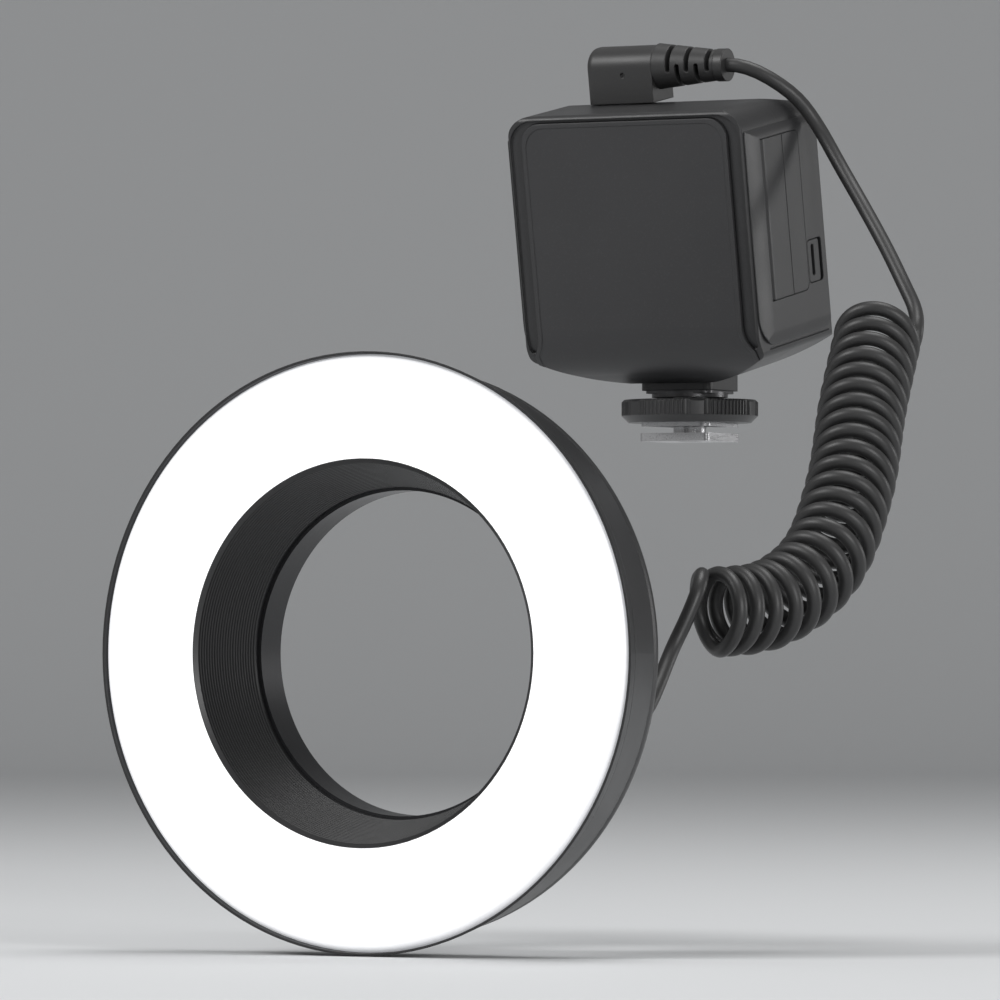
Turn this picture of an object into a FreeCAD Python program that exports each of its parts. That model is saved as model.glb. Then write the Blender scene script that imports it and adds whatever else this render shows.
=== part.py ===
import FreeCAD, Part
import math
import os
import re
from types import SimpleNamespace

from FreeCAD import Placement, Rotation, Vector
import Sketcher

# Macro ring light: a ring head that screws on a lens, a shoe-mounted controller and the curly cord
# between them. Millimetres. X is right, Y runs back along the lens axis, Z is up, and the origin is
# the middle of the lens thread. Ring pieces are drawn from the ring's front face, controller pieces
# from the middle of the controller's lower front edge (Y back, Z up its leaning face), and shoe
# pieces from the middle of the foot's underside.

SIZES = {
    # Ring head, along its axis from the front face
    "ring_depth": 23.0,
    "collar_depth": 3.0,
    "thread_radius": 38.5,
    "thread_length": 2.6,
    "adapter_bore": 37.2,
    "collar_radius": 40.6,
    "flange_radius": 42.6,
    "flange_depth": 1.4,
    "running_gap": 0.05,
    "rim_radius": 68.4,
    "rim_lip": 0.6,
    "rim_setback": 0.5,
    "heel_inset": 3.1,
    "heel_depth": 17.8,
    "heel_round": 4.0,
    "shell_wall": 1.8,
    "ledge_width": 3.4,
    "ledge_depth": 1.4,
    "diffuser_depth": 3.0,
    "diffuser_wall": 2.0,
    "diffuser_round": 2.8,
    "diffuser_skirt": 1.6,
    "mouth_radius": 44.1,
    "mouth_chamfer": 0.8,
    "sleeve_wall": 1.0,
    "sleeve_rear_radius": 38.0,
    "ridge_depth": 0.45,
    "ridges": 22,
    "reflector_wall": 0.8,
    "reflector_floor": 10.2,
    "board_wall": 1.6,
    "leds": 32,
    "led_width": 3.5,
    "led_depth": 1.6,
    "rear_wall": 2.0,
    "pillar_radius": 3.2,
    "pillars": 6,
    "screw_radius": 1.1,
    "screw_head": 2.0,
    "screw_reach": 3.5,
    "retainer_radius": 46.4,
    "retainer_wall": 1.5,
    "retainer_screws": 3,
    "tiny_screw": 0.7,
    "gland_radius": 4.4,
    "gland_reach": 9.0,
    "gland_inset": 11.6,
    "gland_angle": -26.11,
    # Controller head
    "head_width": 63.5,
    "head_depth": 43.0,
    "head_height": 59.5,
    "head_back": 139.5,
    "head_up": 71.3,
    "head_lean": 10.5,
    "head_wall": 2.0,
    "head_edge": 1.6,
    "head_corner": 6.5,
    "front_round": 1.2,
    "rear_round": 3.0,
    "chin_height": 7.5,
    "belly_drop": 9.4,
    "crown_depth": 23.0,
    "seam_depth": 19.5,
    "panel_inset": 4.05,
    "panel_wall": 1.5,
    "panel_proud": 0.35,
    "panel_corner": 5.0,
    "panel_rim": 1.1,
    "panel_sunk": 0.15,
    "band_width": 3.3,
    "band_depth": 0.7,
    "belly_line": 0.6,
    "pad_front": 0.9,
    "pad_rear": 39.6,
    "pad_low": 1.6,
    "pad_high": 54.0,
    "pad_proud": 1.0,
    "pad_corner": 7.5,
    "door_front": 8.2,
    "door_rear": 28.2,
    "door_low": 12.2,
    "door_high": 51.2,
    "door_wall": 3.0,
    "door_gap": 0.15,
    "door_corner": 2.0,
    "pin_radius": 0.6,
    "latch_low": 13.6,
    "latch_width": 6.0,
    "latch_height": 10.2,
    "latch_travel": 1.5,
    "cell_radius": 7.1,
    "cell_length": 49.5,
    "nub_radius": 2.7,
    "nub_length": 1.0,
    "cell_pitch": 15.2,
    "tray_wall": 1.2,
    "boss_radius": 2.6,
    "boss_inset": 4.4,
    "rear_panel_inset": 5.75,
    "rear_panel_low": 6.0,
    "rear_panel_drop": 13.5,
    "rear_panel_proud": 0.5,
    "window_inset": 14.75,
    "window_low": 24.0,
    "window_drop": 18.5,
    "button_radius": 3.4,
    "button_inset": 13.75,
    "button_up": 13.5,
    "button_proud": 1.2,
    "button_travel": 0.6,
    "button_gap": 0.1,
    "switch_depth": 3.2,
    # Plug on the controller's top
    "plug_left": 19.1,
    "plug_right": 1.0,
    "plug_front": 19.5,
    "plug_depth": 11.0,
    "plug_height": 13.5,
    "plug_round": 5.0,
    "socket_radius": 5.2,
    "socket_height": 0.3,
    "jack_radius": 1.25,
    "jack_length": 10.5,
    "boot_up": 8.6,
    "boot_length": 18.2,
    "boot_radius": 5.6,
    "boot_tip_radius": 3.75,
    "boot_droop": 1.0,
    "boot_lead": 5.0,
    "boot_slot": 0.6,
    # Shoe foot, from its underside up
    "foot_back": 165.3,
    "foot_up": 51.7,
    "foot_width": 18.6,
    "foot_length": 18.0,
    "foot_wall": 2.0,
    "shoe_gap": 1.6,
    "washer_wall": 1.0,
    "wheel_radius": 16.7,
    "wheel_height": 5.6,
    "wheel_chamfer": 1.7,
    "wheel_recess_radius": 11.2,
    "wheel_lift": 1.2,
    "knurl_sectors": 6,
    "knurls": 10,
    "knurl_step": 3.75,
    "knurl_radius": 0.34,
    "stem_radius": 4.0,
    "neck_width": 19.0,
    "neck_length": 17.0,
    "neck_up": 12.4,
    "neck_corner": 1.8,
    "neck_plate_wall": 0.7,
    "neck_disc_radius": 9.3,
    "neck_disc_wall": 0.9,
    # Curly cord
    "cord_radius": 1.75,
    "curl_radius": 8.75,
    "curl_turns": 22.7,
    "curl_lean": 0.85,
    "curl_opening": 0.8,
}

doc = FreeCAD.newDocument("MacroRingLight")
sheet = doc.addObject("Spreadsheet::Sheet", "Sizes")
for row, (name, number) in enumerate(SIZES.items(), start=1):
    sheet.set(f"A{row}", name.replace("_", " "))
    sheet.set(f"B{row}", str(number))
    sheet.setAlias(f"B{row}", name)
doc.recompute()
size = SimpleNamespace(**{name: float(sheet.get(name)) for name in SIZES})
SIZE_NAME = re.compile(r"\b(" + "|".join(SIZES) + r")\b")
subparts = []


def bound(formula):
    """The same formula, reading its size names from the sheet."""
    return SIZE_NAME.sub(r"Sizes.\1", str(formula))


def worth(formula):
    """What a formula of size names comes to now."""
    result = sheet.evalExpression(str(formula))
    return float(getattr(result, "Value", result))


def tie(thing, **formulas):
    """Bind an object's properties to formulas of size names."""
    for prop, formula in formulas.items():
        thing.setExpression(prop, bound(formula))


def keep(thing, label, place=None):
    """Name a finished sub-part and put it in its place."""
    thing.Label = label
    if place is not None:
        thing.Placement = place
    subparts.append(thing)
    return thing


# Outlines


def pin_point(sketch, shape, end, x, y):
    """Hold one point of a sketch at two formulas."""
    for axis, kind, formula in ((-2, "DistanceX", x), (-1, "DistanceY", y)):
        if str(formula) == "0":
            sketch.addConstraint(Sketcher.Constraint("PointOnObject", shape, end, axis))
            continue
        number = sketch.addConstraint(Sketcher.Constraint(kind, -1, 1, shape, end, worth(formula)))
        sketch.setExpression(f"Constraints[{number}]", bound(formula))


def outline(sketch, path):
    """Draw a closed outline: (x, y) is a corner and (x, y, "through") a point that an arc passes."""
    corners = [index for index, point in enumerate(path) if len(point) == 2]
    spots = [Vector(worth(point[0]), worth(point[1]), 0) for point in path]
    ends = []
    for index, nextone in zip(corners, corners[1:] + corners[:1]):
        if (index + 1) % len(path) == nextone:
            shape = sketch.addGeometry(Part.LineSegment(spots[index], spots[nextone]), False)
            ends.append((shape, 1, 2))
            continue
        middle = (index + 1) % len(path)
        arc = Part.ArcOfCircle(spots[index], spots[middle], spots[nextone])
        shape = sketch.addGeometry(arc, False)
        forward = sketch.getPoint(shape, 1).distanceToPoint(spots[index]) < 1e-6
        ends.append((shape, 1, 2) if forward else (shape, 2, 1))
        dot = sketch.addGeometry(Part.Point(spots[middle]), True)
        pin_point(sketch, dot, 1, path[middle][0], path[middle][1])
        sketch.addConstraint(Sketcher.Constraint("PointOnObject", dot, 1, shape))
    for index, (shape, start, _), (last, _, end) in zip(corners, ends, ends[-1:] + ends[:-1]):
        sketch.addConstraint(Sketcher.Constraint("Coincident", last, end, shape, start))
        pin_point(sketch, shape, start, path[index][0], path[index][1])


def cornered(left, right, low, high, radii):
    """A rectangle with round corners, as an outline; the radii run round from the right low corner."""
    insets = [f"({radius}) * {1 - math.sqrt(0.5):.6f}" for radius in radii]
    right_low, right_high, left_high, left_low = radii
    return [
        (f"{left} + {left_low}", low),
        (f"{right} - ({right_low})", low),
        (f"{right} - {insets[0]}", f"{low} + {insets[0]}", "through"),
        (right, f"{low} + {right_low}"),
        (right, f"{high} - ({right_high})"),
        (f"{right} - {insets[1]}", f"{high} - {insets[1]}", "through"),
        (f"{right} - ({right_high})", high),
        (f"{left} + {left_high}", high),
        (f"{left} + {insets[2]}", f"{high} - {insets[2]}", "through"),
        (left, f"{high} - ({left_high})"),
        (left, f"{low} + {left_low}"),
        (f"{left} + {insets[3]}", f"{low} + {insets[3]}", "through"),
    ]


def rounded(left, right, low, high, radius):
    """A rectangle with the same round at each corner."""
    return cornered(left, right, low, high, [radius] * 4)


def body_with_sketch(name, plane, path, start="0"):
    """A body holding one sketch on an origin plane, moved along the plane's normal."""
    body = doc.addObject("PartDesign::Body", name)
    sketch = body.newObject("Sketcher::SketchObject", name + "Sketch")
    support = [one for one in body.Origin.OriginFeatures if one.Role == plane][0]
    sketch.AttachmentSupport = (support, [""])
    sketch.MapMode = "FlatFace"
    tie(sketch, **{"AttachmentOffset.Base.z": start})
    doc.recompute()
    outline(sketch, path)
    return body, sketch


def turned(name, path, plane="XY_Plane"):
    """A body turned about the plane's upright axis."""
    body, sketch = body_with_sketch(name, plane, path)
    turn = body.newObject("PartDesign::Revolution", name + "Turn")
    turn.Profile = sketch
    turn.ReferenceAxis = (sketch, ["V_Axis"])
    turn.Angle = 360
    doc.recompute()
    return body


def padded(name, plane, path, start, length):
    """A body padded from start, along +X, +Y or +Z as the plane's normal runs."""
    flipped = plane == "XZ_Plane"
    body, sketch = body_with_sketch(name, plane, path, f"-({start})" if flipped else start)
    pad = body.newObject("PartDesign::Pad", name + "Pad")
    pad.Profile = sketch
    pad.Reversed = flipped
    tie(pad, Length=length)
    doc.recompute()
    return body


def rounded_edges(body, name, radius, chosen):
    """Round a body's edges that the test picks."""
    tip = body.Tip
    names = [f"Edge{number}" for number, edge in enumerate(tip.Shape.Edges, start=1) if chosen(edge)]
    fillet = body.newObject("PartDesign::Fillet", name + "Round")
    fillet.Base = (tip, names)
    tie(fillet, Radius=radius)
    doc.recompute()
    return body


def box(name, x, y, z):
    """A block between pairs of formulas on each axis."""
    block = doc.addObject("Part::Box", name)
    for side, letter, (low, high) in (("Length", "x", x), ("Width", "y", y), ("Height", "z", z)):
        tie(block, **{side: f"({high}) - ({low})", f"Placement.Base.{letter}": low})
    return block


AIM = {"X": Rotation(Vector(0, 1, 0), 90), "Y": Rotation(Vector(1, 0, 0), -90), "Z": Rotation()}


def rod(name, radius, direction, start, length, across=("0", "0")):
    """A cylinder along X, Y or Z; across holds its other two coordinates in X, Y, Z order."""
    cylinder = doc.addObject("Part::Cylinder", name)
    tie(cylinder, Radius=radius, Height=length)
    cylinder.Placement = Placement(Vector(), AIM[direction])
    places = list(across)
    places.insert("XYZ".index(direction), start)
    for letter, formula in zip("xyz", places):
        tie(cylinder, **{f"Placement.Base.{letter}": formula})
    return cylinder


def fused(name, things):
    joined = doc.addObject("Part::MultiFuse", name)
    joined.Shapes = list(things)
    joined.Refine = True
    return joined


def cut(name, base, tools):
    """The base less every tool."""
    tools = list(tools)
    result = doc.addObject("Part::Cut", name)
    result.Base = base
    result.Tool = tools[0] if len(tools) == 1 else fused(name + "Tools", tools)
    return result


def shared(name, first, second):
    overlap = doc.addObject("Part::Common", name)
    overlap.Base = first
    overlap.Tool = second
    return overlap


def group(name, things):
    """Separate solids in one node."""
    compound = doc.addObject("Part::Compound", name)
    compound.Links = list(things)
    return compound


def plain(name, shape):
    """A shape made in code from the sheet's sizes."""
    thing = doc.addObject("Part::Feature", name)
    thing.Shape = shape
    return thing


# Places

thread_middle = size.ring_depth + size.collar_depth + size.thread_length / 2
ring_place = Placement(Vector(0, -thread_middle, 0), Rotation())
head_place = Placement(
    Vector(0, size.head_back - thread_middle, size.head_up),
    Rotation(Vector(1, 0, 0), size.head_lean),
)
foot_place = Placement(Vector(0, size.foot_back - thread_middle, size.foot_up), Rotation())


# Ring head


heel = "(rim_radius - heel_inset)"


def ring_housing():
    inner_rim = "rim_radius - rim_lip"
    ledge_front = "diffuser_depth + reflector_wall"
    ledge_back = f"{ledge_front} + ledge_depth"
    return turned("Housing", [
        (inner_rim, "rim_setback"),
        ("rim_radius", "rim_setback"),
        (heel, "heel_depth"),
        (f"{heel} - shell_wall", "heel_depth"),
        ("rim_radius - shell_wall - 0.5", ledge_back),
        (f"{inner_rim} - ledge_width", ledge_back),
        (f"{inner_rim} - ledge_width", ledge_front),
        (inner_rim, ledge_front),
    ])


def diffuser():
    outer = "rim_radius - rim_lip - running_gap"
    inner = "mouth_radius + running_gap"
    body = turned("Diffuser", [
        (inner, "0"),
        (outer, "0"),
        (outer, "diffuser_depth"),
        (f"{outer} - diffuser_skirt", "diffuser_depth"),
        (f"{outer} - diffuser_skirt - 0.6", "diffuser_wall"),
        (f"{inner} + diffuser_skirt", "diffuser_wall"),
        (f"{inner} + diffuser_skirt", "diffuser_depth"),
        (inner, "diffuser_depth"),
    ])
    rim = size.rim_radius - size.rim_lip - size.running_gap
    return rounded_edges(body, "Diffuser", "diffuser_round", lambda edge: (
        hasattr(edge.Curve, "Radius") and abs(edge.Curve.Radius - rim) < 1e-3
        and abs(edge.CenterOfMass.y) < 1e-3))


def bore_sleeve():
    """The tapered bore with its rows of fine ridges."""
    rear = "ring_depth - rear_wall - flange_depth - running_gap * 2 - retainer_wall"
    crest = "(mouth_radius - sleeve_wall)"
    taper = f"({crest} - sleeve_rear_radius)"
    path = [("mouth_radius", "0"), ("mouth_radius - 0.15", "0"), (crest, "mouth_chamfer")]
    count = int(size.ridges)
    for number in range(count):
        for share, root in ((0.10, 0), (0.25, 1), (0.60, 1), (0.75, 0)):
            along = f"(({number} + {share}) / {count})"
            depth = f"mouth_chamfer + ({rear} - mouth_chamfer) * {along}"
            path.append((f"{crest} - {taper} * {along} + ridge_depth * {root}", depth))
    path += [("sleeve_rear_radius", rear), ("sleeve_rear_radius + sleeve_wall", rear)]
    return turned("Sleeve", path)


def reflector():
    """The white tray behind the diffuser, with the screw posts under its floor."""
    top = "diffuser_depth"
    flange = "rim_radius - rim_lip - running_gap"
    outer = "rim_radius - rim_lip - ledge_width - running_gap"
    inner = "mouth_radius + running_gap"
    under = "reflector_floor + reflector_wall"
    tray = turned("Reflector", [
        (flange, top),
        (flange, f"{top} + reflector_wall"),
        (outer, f"{top} + reflector_wall"),
        (outer, under),
        (inner, under),
        (inner, top),
        (f"{inner} + reflector_wall", top),
        (f"{inner} + reflector_wall", "reflector_floor"),
        (f"{outer} - reflector_wall", "reflector_floor"),
        (f"{outer} - reflector_wall", top),
    ])
    count, orbit, start, reach = size.pillars, led_orbit(), worth(under), size.screw_reach
    posts = around("Post", count, orbit, size.pillar_radius, start, reach)
    holes = around("PostHole", count, orbit, size.screw_radius, start, reach)
    return cut("ReflectorDone", fused("ReflectorPosts", [tray, posts]), [holes])


def led_orbit():
    """Midway between the tray's two walls."""
    return (size.mouth_radius + size.rim_radius - size.rim_lip - size.ledge_width) / 2


def around(name, count, orbit, radius, start, length):
    """Rods along Y, evenly spaced round the ring's axis."""
    rods = []
    for number in range(int(count)):
        angle = 2 * math.pi * (number + 0.25) / count
        centre = Vector(orbit * math.cos(angle), start, orbit * math.sin(angle))
        rods.append(Part.makeCylinder(radius, length, centre, Vector(0, 1, 0)))
    return plain(name, Part.makeCompound(rods))


def led_board():
    inner = "mouth_radius + running_gap + reflector_wall + 0.3"
    outer = "rim_radius - rim_lip - ledge_width - running_gap - reflector_wall - 0.3"
    return turned("LedBoard", [
        (inner, "reflector_floor - board_wall"),
        (outer, "reflector_floor - board_wall"),
        (outer, "reflector_floor"),
        (inner, "reflector_floor"),
    ])


def led_chips():
    chips = []
    front = size.reflector_floor - size.board_wall - size.led_depth
    for number in range(int(size.leds)):
        chip = Part.makeBox(size.led_width, size.led_depth, size.led_width * 0.8)
        chip.translate(Vector(led_orbit() - size.led_width / 2, front, -size.led_width * 0.4))
        chip.rotate(Vector(), Vector(0, 1, 0), 360 * number / size.leds)
        chips.append(chip)
    return plain("LedChips", Part.makeCompound(chips))


def rear_cover():
    hole = "collar_radius + running_gap"
    plate = turned("RearCover", [
        (hole, "ring_depth - rear_wall"),
        (hole, "ring_depth"),
        (f"{heel} - heel_round", "ring_depth"),
        (f"{heel} - heel_round * {1 - math.sqrt(0.5):.6f}",
         f"ring_depth - heel_round * {1 - math.sqrt(0.5):.6f}", "through"),
        (heel, "ring_depth - heel_round"),
        (heel, "heel_depth"),
        (f"{heel} - shell_wall", "heel_depth"),
        (f"{heel} - shell_wall", "ring_depth - heel_round"),
        (f"{heel} - heel_round", "ring_depth - rear_wall"),
    ])
    front = size.reflector_floor + size.reflector_wall + size.screw_reach
    back = size.ring_depth - size.rear_wall
    count, orbit = size.pillars, led_orbit()
    posts = around("Pillar", count, orbit, size.pillar_radius, front, back - front)
    holes = around("PillarHole", count, orbit, size.screw_radius + 0.1, front, size.ring_depth - front)
    sinks = around("PillarSink", count, orbit, size.screw_head + 0.1, size.ring_depth - 1.2, 1.2)
    tiny = around("TinyHole", size.retainer_screws, retainer_orbit(), size.tiny_screw, back, 1.2)
    return cut("RearCoverDone", fused("RearCoverPosts", [plate, posts]), [holes, sinks, tiny])


def rear_screws():
    start = size.reflector_floor + size.reflector_wall + 0.3
    head = size.ring_depth - 1.2
    count, orbit = size.pillars, led_orbit()
    shanks = around("Shank", count, orbit, size.screw_radius, start, head - start).Shape
    heads = around("Head", count, orbit, size.screw_head, head, 1.0).Shape
    slots = [Part.makeBox(2.6, 0.5, 0.5), Part.makeBox(0.5, 0.5, 2.6)]
    drives = []
    for number in range(int(count)):
        angle = 2 * math.pi * (number + 0.25) / count
        for slot in slots:
            drive = slot.copy()
            half = slot.BoundBox.Center
            centre = Vector(orbit * math.cos(angle), head + 0.6, orbit * math.sin(angle))
            drive.translate(centre - Vector(half.x, 0, half.z))
            drives.append(drive)
    crosses = Part.makeCompound(drives)
    pairs = zip(shanks.Solids, heads.Solids)
    return plain("RearScrews", Part.makeCompound(
        [shank.fuse(top).removeSplitter().cut(crosses) for shank, top in pairs]))


def retainer_orbit():
    return (size.flange_radius + size.running_gap + size.retainer_radius) / 2


def adapter_retainer():
    """The ring inside the rear cover that holds the adapter's flange."""
    rim = "flange_radius + running_gap"
    back = "ring_depth - rear_wall"
    lip = f"{back} - flange_depth - running_gap * 2"
    ring = turned("Retainer", [
        ("sleeve_rear_radius", lip),
        (rim, lip),
        (rim, back),
        ("retainer_radius", back),
        ("retainer_radius", f"{lip} - retainer_wall"),
        ("sleeve_rear_radius", f"{lip} - retainer_wall"),
    ])
    front = worth(f"{lip} - retainer_wall")
    holes = around("RetainerHole", size.retainer_screws, retainer_orbit(), size.tiny_screw + 0.05,
                   front, worth(back) - front)
    return cut("RetainerDone", ring, [holes])


def retainer_screws():
    back = size.ring_depth - size.rear_wall
    front = back - size.flange_depth - 2 * size.running_gap - size.retainer_wall
    count, orbit = size.retainer_screws, retainer_orbit()
    shanks = around("TinyShank", count, orbit, size.tiny_screw, front, back + 1.1 - front).Shape
    heads = around("TinyHead", count, orbit, size.tiny_screw * 2, front - 0.7, 0.7).Shape
    return plain("TinyScrews", Part.makeCompound(
        [one.fuse(two).removeSplitter() for one, two in zip(shanks.Solids, heads.Solids)]))


def adapter_ring():
    """The turning ring with the male lens thread."""
    seat = "ring_depth + collar_depth"
    back = "ring_depth - rear_wall - running_gap"
    return turned("Adapter", [
        ("adapter_bore", f"{back} - flange_depth"),
        ("flange_radius", f"{back} - flange_depth"),
        ("flange_radius", back),
        ("collar_radius", back),
        ("collar_radius", f"{seat} - 0.4"),
        ("collar_radius - 0.4", seat),
        ("thread_radius", seat),
        ("thread_radius", f"{seat} + thread_length"),
        ("adapter_bore", f"{seat} + thread_length"),
    ])


gland_turn = math.radians(size.gland_angle)
gland_foot = Vector(math.cos(gland_turn), 0, math.sin(gland_turn)) * (size.rim_radius - size.gland_inset)
gland_foot.y = size.ring_depth
gland_lead = gland_foot + Vector(4.3, 11.2, 12.2)
gland_axis = (gland_lead - gland_foot).normalize()
gland_mouth = gland_foot + gland_axis * size.gland_reach


def cable_gland():
    """A short angled rubber bush on the rear cover."""
    root = 8
    back = gland_foot - gland_axis * root
    wide, slim = size.gland_radius * 1.1, size.gland_radius * 0.72
    stub = Part.makeCone(wide, slim, root + size.gland_reach, back, gland_axis)
    collar = Part.makeCylinder(size.gland_radius * 0.98, 1.6, gland_mouth - gland_axis * 4.4, gland_axis)
    base = Part.makeBox(40, 20, 40, gland_foot + Vector(-20, -20, -20))
    return plain("Gland", stub.fuse(collar).cut(base).removeSplitter())


# Controller casing


def side_profile(inset):
    """The head seen from its side: flat front, falling crown, round back and bellied underside."""
    top = f"head_height - ({inset})"
    back = f"head_depth - ({inset})"
    soft = "0.35"
    return [
        (inset, "chin_height"),
        (inset, f"{top} - head_edge"),
        (f"{inset} + head_edge * 0.29", f"{top} - head_edge * 0.29", "through"),
        (f"{inset} + head_edge", top),
        ("crown_depth", top),
        (f"{back} - 8", f"{top} - 2.2"),
        (f"{back} - 2.1", f"{top} - 5.4", "through"),
        (back, f"{top} - 11"),
        (back, "3"),
        (f"{back} - 1.6", f"-2.6 + ({inset}) * {soft}", "through"),
        (f"{back} - 6", f"-6 + {inset}"),
        ("foot_back - head_back - 1.3", f"-belly_drop + {inset}", "through"),
        (f"8 + ({inset}) * {soft}", f"-5 + {inset}"),
        (f"2.2 + ({inset}) * 0.7", f"0.2 + ({inset}) * 0.7", "through"),
    ]


def front_profile(inset):
    """The head seen from the front, its underside sagging towards the middle."""
    right = f"head_width / 2 - ({inset})"
    top = f"head_height - ({inset})"
    cut_in = "head_corner * 0.29"
    return [
        (f"-({right}) + 1.03", f"-1.2 + {inset}"),
        ("0", f"-belly_drop + {inset}", "through"),
        (f"{right} - 1.03", f"-1.2 + {inset}"),
        (f"{right} - 0.28", f"-0.435 + {inset}", "through"),
        (right, f"0.58 + {inset}"),
        (right, f"{top} - head_corner"),
        (f"{right} - {cut_in}", f"{top} - {cut_in}", "through"),
        (f"{right} - head_corner", top),
        (f"-({right}) + head_corner", top),
        (f"-({right}) + {cut_in}", f"{top} - {cut_in}", "through"),
        (f"-({right})", f"{top} - head_corner"),
        (f"-({right})", f"0.58 + {inset}"),
        (f"-({right}) + 0.28", f"-0.435 + {inset}", "through"),
    ]


def plan_profile(inset):
    """The head seen from above, with round upright edges."""
    half = f"(head_width / 2 - ({inset}))"
    return cornered(f"-{half}", half, inset, f"head_depth - ({inset})",
                    ["front_round", "rear_round", "rear_round", "front_round"])


def head_block(name, inset):
    """The head's outside, taken in by the inset."""
    along = padded(name + "Side", "YZ_Plane", side_profile(inset), "-head_width", "head_width * 2")
    across = padded(name + "Front", "XZ_Plane", front_profile(inset), "-head_depth", "head_depth * 3")
    upright = padded(name + "Plan", "XY_Plane", plan_profile(inset), "-head_height", "head_height * 3")
    return shared(name, shared(name + "Sides", along, across), upright)


def ahead_of(name, inset):
    """The space ahead of the casing's front, chin and fore belly, taken in by the inset."""
    return padded(name, "YZ_Plane", [
        (inset, "head_height"),
        (inset, "chin_height"),
        (f"2.2 + ({inset}) * 0.7", f"0.2 + ({inset}) * 0.7", "through"),
        (f"8 + ({inset}) * 0.35", f"-5 + {inset}"),
        ("11.5", f"-6.87 + {inset}", "through"),
        ("15", f"-8.18 + {inset}"),
        ("15", "-20"),
        ("-5", "-20"),
        ("-5", "head_height"),
    ], "-head_width", "head_width * 2")


def cap_outline(gap, low, middle=()):
    """The front cap seen from the front: round above, flaring over the chin down to a low line."""
    half = f"(head_width / 2 - panel_inset + {gap})"
    high = f"(head_height - 1.8 + {gap})"
    cut_in = "panel_corner * 0.29"
    return [
        (half, "7"),
        (half, f"{high} - panel_corner"),
        (f"{half} - {cut_in}", f"{high} - {cut_in}", "through"),
        (f"{half} - panel_corner", high),
        (f"-{half} + panel_corner", high),
        (f"-{half} + {cut_in}", f"{high} - {cut_in}", "through"),
        (f"-{half}", f"{high} - panel_corner"),
        (f"-{half}", "7"),
        (f"-{half} - 0.6", "3.4", "through"),
        (f"-{half} - 2.2", "0.8"),
        (f"-{half} - 2.2", low),
        *middle,
        (f"{half} + 2.2", low),
        (f"{half} + 2.2", "0.8"),
        (f"{half} + 0.6", "3.4", "through"),
    ]


def cap_room(name, gap, inset):
    """The space within the cap's outline and ahead of the sunk front."""
    limits = padded(name + "Limits", "XZ_Plane", cap_outline(gap, "-20"), "-5", "30")
    return shared(name, ahead_of(name + "Back", inset), limits)


def band_room():
    """The sunk band between the cap and the casing's upright edges."""
    half = "(head_width / 2 - panel_inset + band_width)"
    limits = padded("BandLimits", "XZ_Plane", cornered(
        f"-{half}", half, "belly_line + 0.9", "head_height - 1.1",
        ["1", "panel_corner + 1", "panel_corner + 1", "1"]), "-5", "30")
    return shared("Band", ahead_of("BandBack", "band_depth"), limits)


def lip_lines():
    """The line along each side that carries on the cap's lower edge."""
    wide = "head_width / 2"
    return [box(f"LipLine{side}", (low, high), ("6", "head_depth - 4"), ("belly_line", "belly_line + 0.3"))
            for side, low, high in (("Right", f"{wide} - 0.3", f"{wide} + 1"),
                                    ("Left", f"-{wide} - 1", f"-{wide} + 0.3"))]


def casing_bosses(name, radius, start, length):
    reach = "head_width / 2 - boss_inset"
    rods = []
    for side in ("-", "+"):
        for level in ("boss_inset", "head_height - boss_inset - 1.2"):
            place = (f"{side}({reach})", level)
            rods.append(rod(f"{name}{len(rods)}", radius, "Y", start, length, place))
    return rods


def door_opening():
    """The door's opening, nearly square at the hinge so that the door's barrel turns in it."""
    loose = "(door_corner + door_gap)"
    return cornered(
        "door_front - door_gap", "door_rear + door_gap",
        "door_low - door_gap", "door_high + door_gap", [loose, loose, "0.4", "0.4"])


def swing_relief(name):
    """The bevel at the opening's front edge that lets the door turn past a right angle."""
    edge = "(door_front - door_gap)"
    inner, outer = "head_width / 2 - 0.55", "head_width / 2 + pad_proud + 0.75"
    return padded(name, "XY_Plane", [
        (inner, edge),
        (outer, f"{edge} - 0.62"),
        (outer, f"{edge} + 0.5"),
        (inner, f"{edge} + 0.5"),
    ], "door_low - door_gap", "door_high - door_low + 2 * door_gap")


def foot_hole():
    """The space that the neck takes, in the head's own frame."""
    wide, deep = size.neck_width + 0.2, size.neck_length + 0.2
    block = Part.makeBox(wide, deep, 30, Vector(-wide / 2, -deep / 2, size.neck_up))
    block.Placement = head_place.inverse().multiply(foot_place)
    return block


flange_low = -4.4
flange_high = -2.2
flange_half = (13.4, 9.6)
flange_middle = size.foot_back - size.head_back - 1.3
flange_spots = [(x, flange_middle + y) for x in (-11.4, 11.4) for y in (-7.4, 7.4)]
neck_bite = 1.8


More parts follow.
